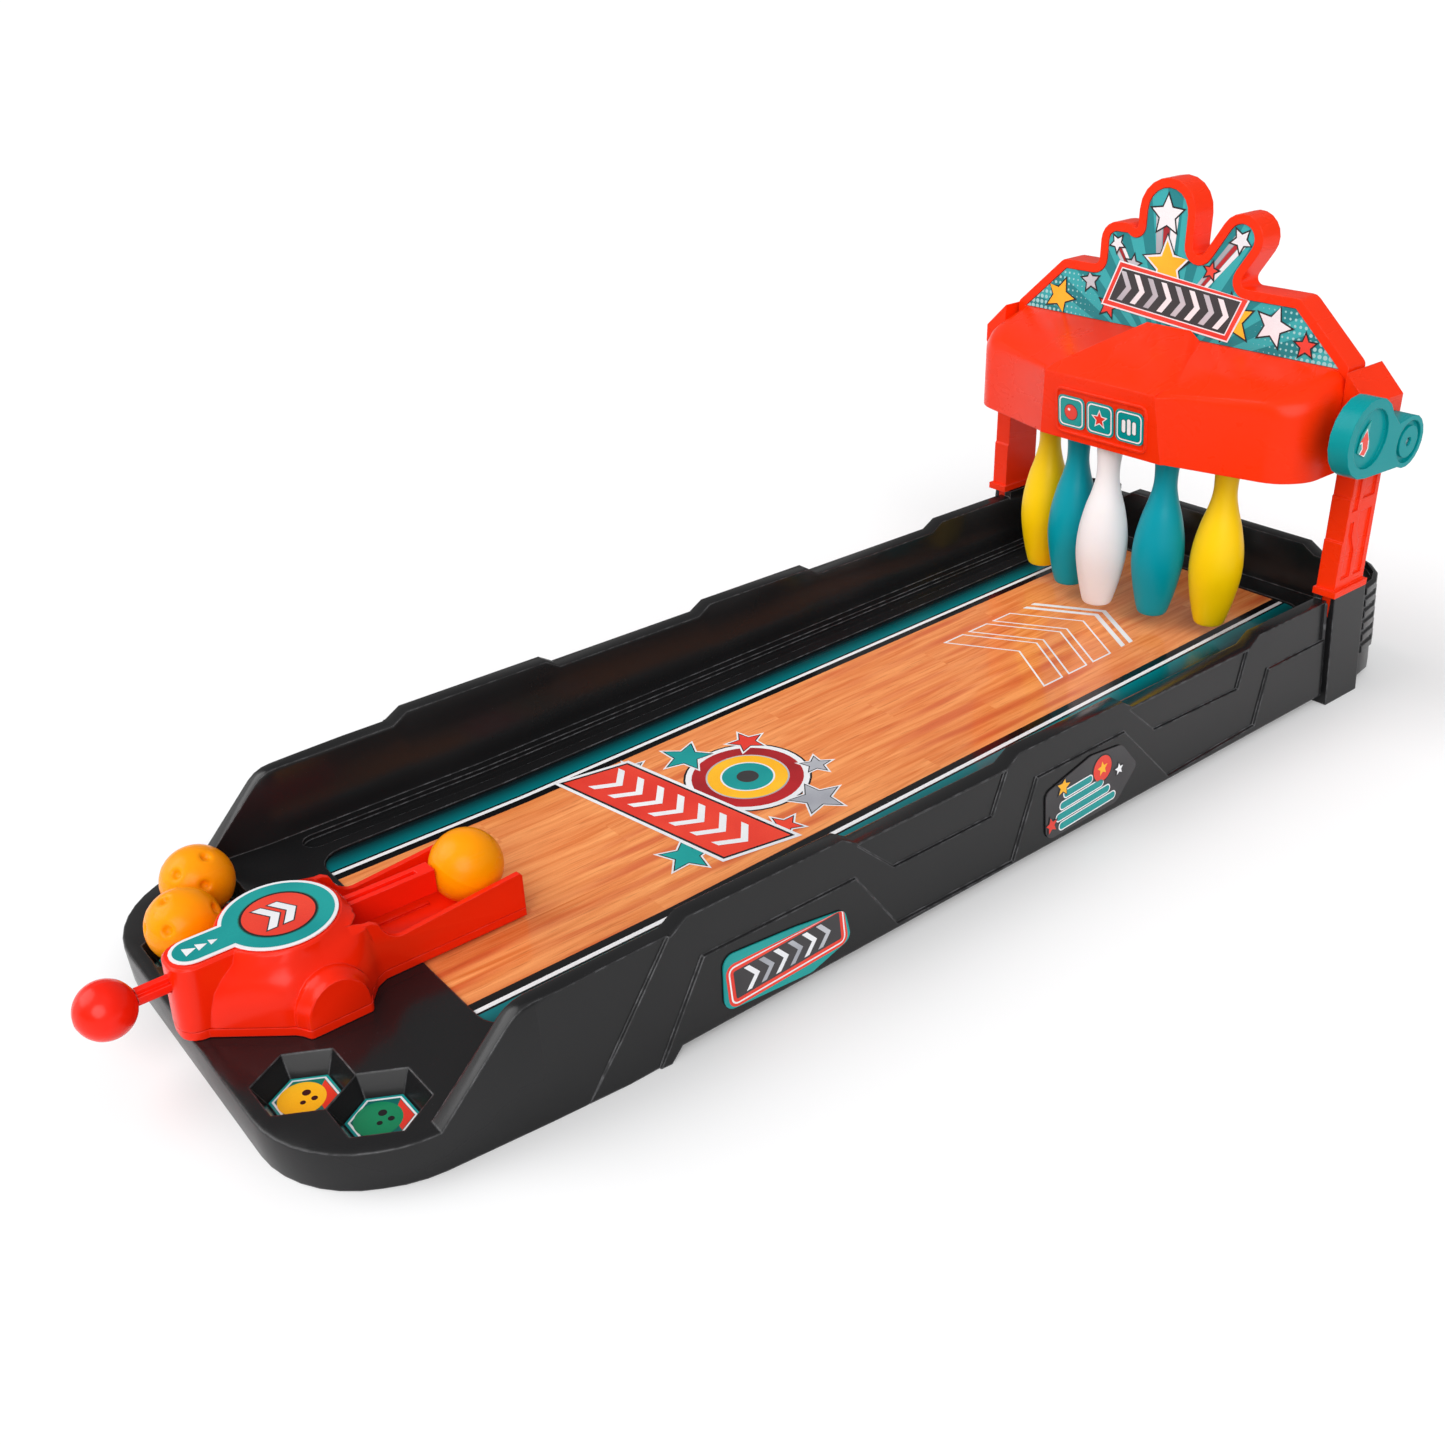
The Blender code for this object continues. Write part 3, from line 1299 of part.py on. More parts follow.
def hood_facet(wall):
    """The raised middle of the hood: a leaning front face that narrows up to the header."""
    half = FACET_HALF - wall
    lean = FACET_PROUD
    shoulder_lean_share = 0.4
    bottom = HOOD_BOTTOM_Z - (OVERRUN if wall else 0)
    front = HOOD_FRONT_Y - FACET_PROUD * 0.2 + wall
    top_front = hood_top_z(HOOD_FRONT_Y) - wall
    rear = HOOD_REAR_Y + (OVERRUN if wall else 0)
    top_rear = hood_top_z(HOOD_REAR_Y) + FACET_TOP_RISE - wall
    narrow = half - FACET_CHAMFER * 0.8

    def ring(y_low, y_high, wide, wide_high, shoulder, z_low, z_high):
        return [
            (-wide, y_low, bottom), (-wide_high, y_high, z_low), (-shoulder, y_high, z_high),
            (shoulder, y_high, z_high), (wide_high, y_high, z_low), (wide, y_low, bottom),
        ]

    wide = half + FACET_CHAMFER
    rear_half = FACET_REAR_HALF - wall
    rings = [
        ring(front, front - lean, half, narrow + wall / 2, narrow, top_front - HOOD_LIP, top_front),
        ring(
            front + FACET_CHAMFER, front + FACET_CHAMFER - lean * shoulder_lean_share,
            wide, wide - HOOD_LIP,
            narrow, top_front - HOOD_LIP, top_front + FACET_TOP_RISE * 0.55,
        ),
        ring(
            rear, rear, wide, rear_half + FACET_CHAMFER * 1.6, rear_half,
            hood_top_z(HOOD_REAR_Y) - HOOD_LIP - wall, top_rear,
        ),
    ]
    return loft(rings)


def on_hood_face(corners, low, high):
    """A plate on the hood's leaning front face, between two lifts from it; the outline is in X and Z."""
    face_y = HOOD_FRONT_Y - FACET_PROUD * 0.2
    lean = FACET_PROUD / (hood_top_z(HOOD_FRONT_Y) - HOOD_BOTTOM_Z)
    outline = rounded(corners, 3)
    rings = []
    for lift in (high, low):
        rings.append([(x, face_y - lift - lean * (z - HOOD_BOTTOM_Z), z) for x, z in outline])
    return loft(rings)


def soft_square(x, half_x, half_z, radius):
    """Corners of a rounded oblong on the row of icons."""
    left, right, low, high = x - half_x, x + half_x, ICON_ROW_Z - half_z, ICON_ROW_Z + half_z
    return [(left, low, radius), (right, low, radius), (right, high, radius), (left, high, radius)]


def make_hood(parent):
    """The hood as an open-bottomed, open-backed shell, with a raised frame round its icons."""
    corners = soft_square(ICON_ROW_X, ICON_FRAME_HALF, ICON_FRAME_RISE, ICON_FRAME_R)
    frame = on_hood_face(corners, -HOOD_WALL / 2, ICON_FRAME_PROUD)
    within = on_hood_face(inset(corners, ICON_FRAME_WIDTH), ICON_PANEL_PROUD, OVERRUN)
    facet = cut(union(hood_facet(0), frame), within)
    body = cut(union(hood_lobes(0), facet), hood_lobes(HOOD_WALL), hood_facet(HOOD_WALL))
    return add("hood_shell", body, "orange_plastic", parent)


def make_icons(parent):
    """Three square labels on the hood's front face."""
    half = ICON_SIZE / 2
    for index, name in enumerate(("left", "middle", "right")):
        corners = soft_square(ICON_ROW_X + (index - 1) * ICON_PITCH, half, half, half / 3)
        low = ICON_PANEL_PROUD + FIT
        plate = on_hood_face(corners, low, low + LABEL_THICK)
        add(f"hood_icon_{name}", plate, "teal_print", parent)


# Header board


def header_corners():
    """The header's outline seen from the front, anticlockwise from the lower left."""
    lean = math.radians(RIGHT_BUMP_LEAN)
    up = Vector((math.sin(lean), math.cos(lean)))
    across = Vector((math.cos(lean), -math.sin(lean)))
    right = Vector((RIGHT_BUMP_X, RIGHT_BUMP_Z))
    top = right + up * RIGHT_BUMP_R
    high_left = top - across * RIGHT_BUMP_R
    high_right = top + across * RIGHT_BUMP_R
    to_shoulder = (SHOULDER_Z - high_right.y) / up.y
    foot_right = high_right + up * to_shoulder
    centre_right = CENTRE_BUMP_X + CENTRE_BUMP_R
    valley = high_left + up * ((centre_right - high_left.x) / up.x)
    centre_left = CENTRE_BUMP_X - CENTRE_BUMP_R
    centre_top = CENTRE_BUMP_Z + CENTRE_BUMP_R
    left_top = LEFT_BUMP_Z + LEFT_BUMP_R
    notch_z = LEFT_BUMP_Z + LEFT_BUMP_R * 0.62
    small = LEFT_BUMP_R * 0.35
    return [
        (-HEADER_HALF, HEADER_BASE_Z, 0),
        (HEADER_HALF, HEADER_BASE_Z, 0),
        (HEADER_HALF, SHOULDER_LOW_Z, small),
        (SHOULDER_HALF, SHOULDER_Z, small * 1.5),
        (foot_right.x, foot_right.y, small),
        (high_right.x, high_right.y, RIGHT_BUMP_R * 0.99),
        (high_left.x, high_left.y, RIGHT_BUMP_R * 0.99),
        (valley.x, valley.y, small * 1.1),
        (centre_right, centre_top, CENTRE_BUMP_R * 0.99),
        (centre_left, centre_top, CENTRE_BUMP_R * 0.99),
        (centre_left, notch_z, small * 0.4),
        (LEFT_BUMP_X + LEFT_BUMP_R * 0.8, left_top, LEFT_BUMP_R * 0.6),
        (LEFT_BUMP_X - LEFT_BUMP_R, left_top, LEFT_BUMP_R * 0.95),
        (LEFT_BUMP_X - LEFT_BUMP_R, SHOULDER_Z, small),
        (-SHOULDER_HALF, SHOULDER_Z, small * 1.5),
        (-HEADER_HALF, SHOULDER_LOW_Z, small),
    ]


def make_header(parent):
    """A moulded board: a deep rim round a front plate, hollow behind, recessed for its print."""
    corners = header_corners()
    rear = HEADER_FRONT_Y + HEADER_DEPTH
    body = prism(rounded(corners), HEADER_FRONT_Y, rear, "y")
    recess_y = HEADER_FRONT_Y + HEADER_RECESS
    back = prism(rounded(inset(corners, HEADER_WALL)), recess_y + HEADER_WALL, rear + OVERRUN, "y")
    face = prism(rounded(label_corners(0)), HEADER_FRONT_Y - OVERRUN, recess_y, "y")
    return add("header_board", cut(body, back, face), "orange_plastic", parent)


def label_corners(margin):
    """The printed area of the header: inside the frame, down to the hood's top."""
    low = hood_top_z(HOOD_REAR_Y) - HEADER_FRAME
    spread = (HEADER_HALF - SHOULDER_HALF) / (SHOULDER_Z - SHOULDER_LOW_Z)
    end = HEADER_HALF + spread * (SHOULDER_LOW_Z - low)
    corners = [(-end, low, 0), (end, low, 0)] + header_corners()[3:-1]
    return inset(corners, HEADER_FRAME + margin)


def make_header_label(parent):
    front = HEADER_FRONT_Y + HEADER_RECESS - FIT - LABEL_THICK
    label = prism(rounded(label_corners(FIT)), front, front + LABEL_THICK, "y")
    return add("header_decal", label, "teal_print", parent)


# Posts


def bracket(side, proud):
    """The arm at a post's top that holds the header's end and the reset shaft."""
    inner = POST_INNER_X
    outer = POST_INNER_X + POST_THICK
    outline = [
        (inner, BRACKET_Z), (outer, BRACKET_Z), (outer, BRACKET_END_LOW_Z - POST_PANEL_DEPTH * 4),
        (BRACKET_END_X, BRACKET_END_LOW_Z), (BRACKET_END_X, BRACKET_END_TOP_Z), (inner, BRACKET_TOP_Z),
    ]
    outline = [(side * x, z) for x, z in outline]
    return prism(outline, POST_FRONT_Y - proud, BRACKET_REAR_Y, "y")


def post_column(side, low):
    """The upright: its front steps back twice on the way up, and its rear leans in a little."""
    front, rear, top = POST_FRONT_Y, POST_FRONT_Y + POST_DEPTH, BRACKET_Z + POST_FLANGE_THICK
    outline = [(front, low)]
    for share, steps in ((0.40, 0), (0.72, 1)):
        z = low + (top - low) * share
        outline += [(front + steps * POST_STEP, z), (front + (steps + 1) * POST_STEP, z + POST_STEP)]
    outline += [(front + 2 * POST_STEP, top), (rear - POST_STEP, top), (rear, low)]
    ends = (side * POST_INNER_X, side * (POST_INNER_X + POST_THICK))
    return prism(outline, min(ends), max(ends), "x")


def make_post(parent, name, side, bracket_proud):
    """A post: flange and foot below, panelled column, arm above."""
    low = BLOCK_TOP_Z + FIT
    x_low, x_high = POST_INNER_X, POST_INNER_X + POST_THICK
    y_low, y_high = POST_FRONT_Y, POST_FRONT_Y + POST_DEPTH

    proud = POST_FLANGE_PROUD
    ends = (side * (x_low - proud / 2), side * (x_high + proud))
    flange = box(
        (min(ends), y_low - proud, low), (max(ends), y_high + proud, low + POST_FLANGE_THICK)
    )
    foot = tenon_box(side, 0, BLOCK_TOP_Z - POST_TENON_LENGTH, low + POST_FLANGE_THICK / 2)
    body = union(post_column(side, low), flange, foot, bracket(side, bracket_proud))
    body = cut(body, *post_panels(side))
    reach = BRACKET_END_X + OVERRUN
    bore = rod(SHAFT_D + 2 * FIT, -reach, reach, "x", (SHAFT_Y, SHAFT_Z), 12)
    return add(name, cut(body, bore), "orange_plastic", parent)


def post_panels(side):
    """Sunk panels on the column's outer face, in shares of its depth and height."""
    outline_shares = (
        [(0.14, 0.08), (0.45, 0.08), (0.45, 0.30), (0.30, 0.42), (0.30, 0.55), (0.14, 0.55)],
        [(0.58, 0.08), (0.86, 0.08), (0.86, 0.62), (0.44, 0.62), (0.44, 0.47), (0.58, 0.37)],
        [(0.14, 0.64), (0.34, 0.64), (0.34, 0.92), (0.14, 0.92)],
        [(0.46, 0.72), (0.86, 0.72), (0.86, 0.92), (0.46, 0.92)],
    )
    low = BLOCK_TOP_Z + POST_FLANGE_THICK
    height = BRACKET_Z - low
    outer = POST_INNER_X + POST_THICK
    cuts = []
    for shares in outline_shares:
        outline = [(POST_FRONT_Y + y * POST_DEPTH, low + z * height) for y, z in shares]
        near, far = side * (outer - POST_PANEL_DEPTH), side * (outer + OVERRUN)
        cuts.append(prism(outline, min(near, far), max(near, far), "x"))
    return cuts


# Reset lever


def lever_outline(margin):
    """Side view of the lever: a big lobe, a dipped waist and a small eye at the shaft."""
    lobe = Vector((LEVER_LOBE_Y, LEVER_LOBE_Z))
    eye = Vector((SHAFT_Y, SHAFT_Z))
    along = (eye - lobe).normalized()
    up = Vector((-along.y, along.x))
    base_angle = math.atan2(along.y, along.x)
    points = []
    for centre, radius, first, last in (
        (lobe, LEVER_LOBE_R - margin, 40, 285),
        (eye, LEVER_EYE_R - margin, -105, 115),
    ):
        for i in range(13):
            turn = base_angle + math.radians(first + (last - first) * i / 12)
            points.append(tuple(centre + Vector((math.cos(turn), math.sin(turn))) * radius))
    waist = lobe + along * (eye - lobe).length * 0.62 + up * (LEVER_EYE_R * 0.62 - margin)
    points.append(tuple(waist))
    return points


def make_lever(parent):
    """The teal lever, dished on its outer face inside a raised rim."""
    outer = LEVER_INNER_X + LEVER_THICK
    body = prism(lever_outline(0), LEVER_INNER_X, outer, "x")
    lobe_dish = rod(
        2 * (LEVER_LOBE_R - LEVER_RIM), outer - LEVER_DISH, outer + OVERRUN, "x", (LEVER_LOBE_Y, LEVER_LOBE_Z)
    )
    eye_radius = LEVER_EYE_R - LEVER_RIM * 0.5
    ring = cut(
        rod(2 * eye_radius, outer - LEVER_DISH, outer + OVERRUN, "x", (SHAFT_Y, SHAFT_Z)),
        rod(1.5 * eye_radius, outer - 2 * LEVER_DISH, outer + 2 * OVERRUN, "x", (SHAFT_Y, SHAFT_Z)),
    )
    axis = (SHAFT_Y, SHAFT_Z)
    bore = rod(SHAFT_D + 2 * FIT, LEVER_INNER_X - OVERRUN, outer - 2 * LEVER_DISH, "x", axis, 12)
    screw_hole = rod(SHAFT_D * 0.8, outer - 3 * LEVER_DISH, outer + OVERRUN, "x", axis, 6)
    return add("reset_lever", cut(body, lobe_dish, ring, bore, screw_hole), "teal_plastic", parent)


def make_lever_screw(parent):
    """The screw at the lever's eye, into the shaft's end."""
    outer = LEVER_INNER_X + LEVER_THICK
    low = outer - 2 * LEVER_DISH + 2 * FIT
    screw = rod(SHAFT_D * 0.8 - 4 * FIT, low, outer - LEVER_DISH * 0.6, "x", (SHAFT_Y, SHAFT_Z), 12)
    return add("lever_screw", screw, "steel", parent)


def make_lever_label(parent):
    outer = LEVER_INNER_X + LEVER_THICK - LEVER_DISH
    radius = LEVER_LOBE_R - LEVER_RIM
    shares = [(-0.62, -0.35), (-0.1, -0.62), (0.1, -0.25), (-0.12, 0.05), (-0.05, 0.62), (-0.5, 0.2)]
    outline = [(LEVER_LOBE_Y + y * radius, LEVER_LOBE_Z + z * radius) for y, z in shares]
    label = prism(outline, outer + FIT, outer + FIT + LABEL_THICK, "x")
    return add("lever_decal", label, "white_plastic", parent)


def make_shaft(parent):
    """The shaft behind the header, with the blade that sweeps raised pins down."""
    right_end = LEVER_INNER_X + LEVER_THICK - 2 * LEVER_DISH - FIT
    left_end = -POST_INNER_X - POST_THICK
    body = rod(SHAFT_D, left_end, right_end, "x", (SHAFT_Y, SHAFT_Z), 12)
    half = BLADE_THICK / 2
    blade = box((-BLADE_HALF, -half, -BLADE_REACH), (BLADE_HALF, half, 0))
    blade = moved(blade, (0, SHAFT_Y, SHAFT_Z), (-BLADE_REST_DEGREES, 0, 0))
    return add("reset_shaft", union(body, blade), "black_plastic", parent)


def make_reset(root):
    axis = empty("reset_axis", (0, SHAFT_Y, SHAFT_Z), root)
    make_shaft(axis)
    make_lever(axis)
    make_lever_screw(axis)
    make_lever_label(axis)


def footprint_middle():
    """The middle of the whole set's box in plan, from its outermost pieces."""
    right = LEVER_INNER_X + LEVER_THICK
    left = -BLOCK_HALF - BLOCK_FLARE
    front = KNOB_Y - KNOB_D / 2
    rib_z = RIB_BOTTOM_Z + RIB_PITCH * RIB_START_SHARE
    foot = WALL_FLARE * (1 - FOOT_LIFT / RIM_LOW)
    rib = WALL_FLARE * (1 - rib_z / RIM_LOW) + RIB_PROUD
    rear = TRAY_LENGTH + BELT_PROUD + max(foot, rib)
    return ((left + right) / 2, (front + rear) / 2)


def build():
    clear_scene()
    root = empty("root", (0, 0, 0))
    middle = footprint_middle()
    root.location = (-middle[0], -middle[1], 0)
    make_tray(root)
    make_lane_label(root)
    make_pocket_labels(root)
    make_side_badges(root)
    make_spare_balls(root)
    make_launcher(root)
    make_post(root, "post_left", -1, BRACKET_PROUD_LEFT)
    make_post(root, "post_right", 1, BRACKET_PROUD_RIGHT)
    make_hood(root)
    make_icons(root)
    make_header(root)
    make_header_label(root)
    make_rack(root)
    make_pins(root)
    make_reset(root)


build()
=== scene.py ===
"""The looks of a kids' tabletop bowling set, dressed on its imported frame.

Metres, +Z up. Places that come from measuring the set are written from the middle of the tray's
front edge, as at(x, y, z), and the frame says where that point lies. Angles given here are in
degrees.
"""

import math

import bmesh
import bpy
from mathutils import Matrix, Vector
from mathutils.bvhtree import BVHTree


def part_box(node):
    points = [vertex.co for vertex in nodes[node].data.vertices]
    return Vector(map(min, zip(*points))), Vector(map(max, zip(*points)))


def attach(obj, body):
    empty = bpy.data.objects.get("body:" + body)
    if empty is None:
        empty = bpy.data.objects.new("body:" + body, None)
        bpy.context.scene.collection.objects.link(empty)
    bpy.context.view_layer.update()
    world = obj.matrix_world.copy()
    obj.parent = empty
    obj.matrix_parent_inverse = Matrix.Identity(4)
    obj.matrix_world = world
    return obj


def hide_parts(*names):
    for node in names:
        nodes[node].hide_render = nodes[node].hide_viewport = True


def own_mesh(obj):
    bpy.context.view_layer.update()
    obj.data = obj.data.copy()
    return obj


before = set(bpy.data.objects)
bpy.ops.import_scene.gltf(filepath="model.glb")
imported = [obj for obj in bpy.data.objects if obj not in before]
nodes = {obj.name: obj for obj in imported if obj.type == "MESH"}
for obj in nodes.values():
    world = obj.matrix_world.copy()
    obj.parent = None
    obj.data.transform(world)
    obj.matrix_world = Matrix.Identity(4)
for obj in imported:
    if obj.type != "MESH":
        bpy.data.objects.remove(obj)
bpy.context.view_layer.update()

# The frame's place of the tray's front middle
LANE_FRONT_Y = 0.0898
lane_low, lane_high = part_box("lane_decal")
MIDDLE_X = (lane_low.x + lane_high.x) / 2
FRONT_Y = lane_low.y - LANE_FRONT_Y

# Camera
CAMERA_PLACE = (0.4587, -0.398119, 0.3694)
CAMERA_TURN = (61.51, 2.02, 51.48)
CAMERA_LENS = 36.96
SENSOR_WIDTH = 36

# Light: even surroundings, but gloss mirrors a dark room with soft panels in it. A panel is its
# direction, the cosines to that direction at which it begins and is full, and its strength.
WORLD_LIGHT = 0.50
ROOM_DARK = 0.27
ROOM_PANELS = (
    ((0.35, -0.35, 0.86), 0.55, 0.95, 1.0),
    ((-0.68, -0.62, 0.40), 0.80, 0.93, 1.2),
    ((0.85, -0.30, 0.42), 0.75, 0.95, 0.75),
)
# Lamps as (name, direction they shine from, strength, how wide they look)
LAMPS = (
    ("key", (-0.50, -0.56, 0.74), 1.35, 48),
    ("fill", (0.66, -0.50, 0.56), 1.80, 45),
)

# Floor
FLOOR_HALF = 30
FLOOR_DROP = 0.0002
FLOOR_COLOUR = (0.86, 0.86, 0.865, 1)
FLOOR_MOTTLE_SCALE = 3
FLOOR_MOTTLE = 0.004
FLOOR_ROUGHNESS = 0.9
FLOOR_SHINE = 0.1
FLOOR_GLOW = 0.10

# Meshes
SMOOTH_ANGLE = 34
WELD = 0.000002
PRINT_LIFT = 0.00004

# Balls and knob
BALL_R = 0.01535
BALL_STEPS = 160
BALL_SEAM_HALF = 0.00105
BALL_SEAM_WAY = (0.25, 0.45, 0.86)
SEAM_PROUD = 0.00012
DIMPLE_R = 0.0037
DIMPLE_DEPTH = 0.0021
DISH_DEPTH = 0.0006
HOLE_SHARE = 0.62
HOLE_STEEPNESS = 4
# Finger dimples as (turn, tilt) from straight up
INNER_DIMPLES = ((-42, 63), (-95, 19), (-98, 75), (60, 65), (170, 60))
OUTER_DIMPLES = ((-57, 47), (-4, 69), (34, 28), (120, 62), (215, 70))
KNOB_R = 0.0112
KNOB_STEPS = 64, 40
KNOB_SEAM_HALF = 0.0007

# Pins: the outline as shares of the half width and of the height
PIN_R = 0.0134
PIN_HEIGHT = 0.100
PIN_STEPS = 64
PIN_CURVE_STEPS = 5
PIN_SIDE = (
    (0.50, 0), (0.60, 0.015), (0.80, 0.12), (0.96, 0.24), (1.0, 0.33), (0.94, 0.43), (0.77, 0.54),
    (0.57, 0.63), (0.45, 0.71), (0.45, 0.79), (0.51, 0.87), (0.51, 0.945), (0.35, 0.985),
)


def at(x, y, z):
    """A place measured from the tray's front middle, in the frame's axes."""
    return Vector((x + MIDDLE_X, y + FRONT_Y, z))


def seen(red, green, blue):
    """A colour as a screen shows it, from 0 to 255, in the shader's linear values."""
    def linear(level):
        share = level / 255
        return share / 12.92 if share <= 0.04045 else ((share + 0.055) / 1.055) ** 2.4
    return (linear(red), linear(green), linear(blue), 1)


# Node trees

# The levels between which nearly all of a noise lies
NOISE_LEVELS = 0.3, 0.7
BEVEL_SAMPLES = 6


class NodeTree:
    """A node tree under construction, with short ways to add and join its nodes."""

    def __init__(self, tree):
        self.tree = tree

    def node(self, kind, settings=None, **inputs):
        made = self.tree.nodes.new("ShaderNode" + kind)
        for key, value in (settings or {}).items():
            setattr(made, key, value)
        for key, value in inputs.items():
            self.put(made.inputs[key.replace("_", " ")], value)
        return made

    def put(self, socket, value):
        if isinstance(value, bpy.types.NodeSocket):
            self.tree.links.new(value, socket)
        else:
            socket.default_value = value

    def calc(self, operation, *values, kind="Math"):
        """The first output of a Math or VectorMath node with its inputs in order."""
        made = self.node(kind, {"operation": operation})
        for socket, value in zip(made.inputs, values):
            self.put(socket, value)
        return made.outputs[0]

    def dot(self, first, second):
        made = self.node("VectorMath", {"operation": "DOT_PRODUCT"})
        self.put(made.inputs[0], first)
        self.put(made.inputs[1], second)
        return made.outputs["Value"]

    def spread(self, value, low, high, to_low=0.0, to_high=1.0, way="LINEAR"):
        """The value moved from one range to another, held at its ends."""
        made = self.node("MapRange", {"interpolation_type": way}, Value=value,
                         From_Min=low, From_Max=high, To_Min=to_low, To_Max=to_high)
        return made.outputs["Result"]


class Shader(NodeTree):
    """A material's node tree, whose textures lie in the object's coordinates."""

    def __init__(self, name):
        self.material = bpy.data.materials.new(name)
        self.material.use_nodes = True
        super().__init__(self.material.node_tree)
        self.surface = self.tree.nodes["Principled BSDF"]
        self.output = self.tree.nodes["Material Output"]
        self.coords = self.node("TexCoord").outputs["Object"]

    def set(self, **inputs):
        """Gives values to the surface's inputs."""
        for key, value in inputs.items():
            self.put(self.surface.inputs[key.replace("_", " ")], value)

    def axis(self, name):
        return self.node("SeparateXYZ", Vector=self.coords).outputs[name]

    def scaled(self, x, y, z):
        """The object's coordinates stretched, for textures finer along one axis."""
        return self.node("Mapping", Vector=self.coords, Scale=(x, y, z)).outputs["Vector"]

    def noise(self, scale, detail, where=None, distortion=0.0):
        made = self.node("TexNoise", Scale=scale, Detail=detail, Distortion=distortion)
        self.put(made.inputs["Vector"], self.coords if where is None else where)
        return made.outputs["Fac"]

    def mix(self, share, first, second):
        made = self.node("Mix", {"data_type": "RGBA"}, Factor=share, A=first, B=second)
        return made.outputs["Result"]

    def tinted(self, colour, noise, amount):
        """The colour made lighter and darker by a noise's swing."""
        value = self.spread(noise, *NOISE_LEVELS, 1 - amount, 1 + amount)
        return self.node("HueSaturation", Color=colour, Value=value).outputs["Color"]

    def relief(self, height, distance, strength, normal=None):
        made = self.node("Bump", Height=height, Distance=distance, Strength=strength)
        if normal is not None:
            self.put(made.inputs["Normal"], normal)
        return made.outputs["Normal"]

    def rounded_edges(self, radius):
        return self.node("Bevel", {"samples": BEVEL_SAMPLES}, Radius=radius).outputs["Normal"]


# Plastic and steel. A scale is in repeats per metre and a stretch multiplies it along each axis.
# Levels are those of a noise between which its effect goes from none, or least, to full.

EDGE_ROUND = 0.0006
PLASTIC_IOR = 1.49
# How far red, green and blue light spread inside translucent plastic
GLOW_DEPTHS = (0.004, 0.002, 0.0006)
FLOW_SCALE = 22
FLOW_STRENGTH = 0.35
RUB_SCALE = 60
RUB_STRETCH = (1, 0.25, 1.6)
RUB_DISTORTION = 0.6
SKIN_SCALE = 900
SKIN_DEPTH = 0.00001
SKIN_STRENGTH = 0.5
# Rounded edges paled in patches, partly as wear and partly as a painted highlight along the edge
# The cosines to the flat face beside it at which a rounded edge begins to pale and is palest
WEAR_AND_GLINT_COSINES = 0.995, 0.90
WEAR_AND_GLINT_SCALE = 180
WEAR_AND_GLINT_LEVELS = 0.45, 0.6
WEAR_AND_GLINT_LEAST = 0.3
WORN_AND_GLINTING_SATURATION = 0.92
DUST_SCALE = 1400
DUST_LEVELS = 0.76, 0.80
DUST_GREY = seen(190, 190, 190)
STEEL_GREY = seen(190, 190, 194)
STEEL_MOTTLE = 0.08
STEEL_ROUGHNESS = 0.18, 0.36
DRAWN_SCALE = 700
DRAWN_STRETCH = (0.08, 1, 1)
DRAWN_DEPTH = 0.00002


def worn_and_glinting_edges(shader, colour, edges, edge_value, wear_and_glint):
    """The colour, patchily paler where a rounded edge turns away from the face beside it: partly wear
    and partly a painted highlight along the edge.
    """
    facing = shader.dot(edges, shader.node("NewGeometry").outputs["Normal"])
    patches = shader.spread(shader.noise(WEAR_AND_GLINT_SCALE, 4), *WEAR_AND_GLINT_LEVELS, WEAR_AND_GLINT_LEAST, 1.0)
    share = shader.calc("MULTIPLY", shader.spread(facing, *WEAR_AND_GLINT_COSINES, 0.0, wear_and_glint), patches)
    pale = shader.node("HueSaturation", Color=colour, Value=edge_value, Saturation=WORN_AND_GLINTING_SATURATION)
    return shader.mix(share, colour, pale.outputs["Color"])


def moulded(name, colour, roughness, rough_swing=0.05, mottle=0.02, gloss=0.25, translucent=0.0,
            speck=0.0, edge=EDGE_ROUND, edge_value=1.35, wear_and_glint=0.35, waves=0.00004):
    """Injection-moulded plastic: soft flow marks, a fine skin, rubbed gloss and paler rounded edges.

    The colour and the roughness swing by mottle and rough_swing. Speck is how much its dust shows,
    edge the radius of the rounded edges, paled partly as wear and partly as a painted highlight by
    mixing in the colour times edge_value by the argument after it, and waves the depth of the flow
    marks.
    """
    shader = Shader(name)
    flow = shader.noise(FLOW_SCALE, 4)
    edges = shader.rounded_edges(edge)
    body = worn_and_glinting_edges(shader, shader.tinted(colour, flow, mottle), edges, edge_value, wear_and_glint)
    if speck:
        dust = shader.spread(shader.noise(DUST_SCALE, 2), *DUST_LEVELS, 0.0, speck)
        body = shader.mix(dust, body, DUST_GREY)
    rubbed = shader.noise(RUB_SCALE, 6, shader.scaled(*RUB_STRETCH), RUB_DISTORTION)
    least, most = roughness - rough_swing, roughness + rough_swing
    flowed = shader.relief(flow, waves, FLOW_STRENGTH, edges)
    shader.set(
        Base_Color=body,
        Roughness=shader.spread(rubbed, *NOISE_LEVELS, least, most),
        Normal=shader.relief(shader.noise(SKIN_SCALE, 3), SKIN_DEPTH, SKIN_STRENGTH, flowed),
        IOR=PLASTIC_IOR,
        Specular_IOR_Level=gloss,
    )
    if translucent:
        shader.set(Subsurface_Weight=translucent, Subsurface_Radius=GLOW_DEPTHS, Subsurface_Scale=1.0)
    return shader.material


def bright_steel(name):
    """Drawn and plated steel with fine marks along its length."""
    shader = Shader(name)
    marks = shader.noise(DRAWN_SCALE, 4, shader.scaled(*DRAWN_STRETCH))
    shader.set(
        Base_Color=shader.tinted(STEEL_GREY, marks, STEEL_MOTTLE),
        Roughness=shader.spread(marks, *NOISE_LEVELS, *STEEL_ROUGHNESS),
        Normal=shader.relief(marks, DRAWN_DEPTH, 1.0, shader.rounded_edges(EDGE_ROUND)),
        Metallic=1.0,
    )
    return shader.material
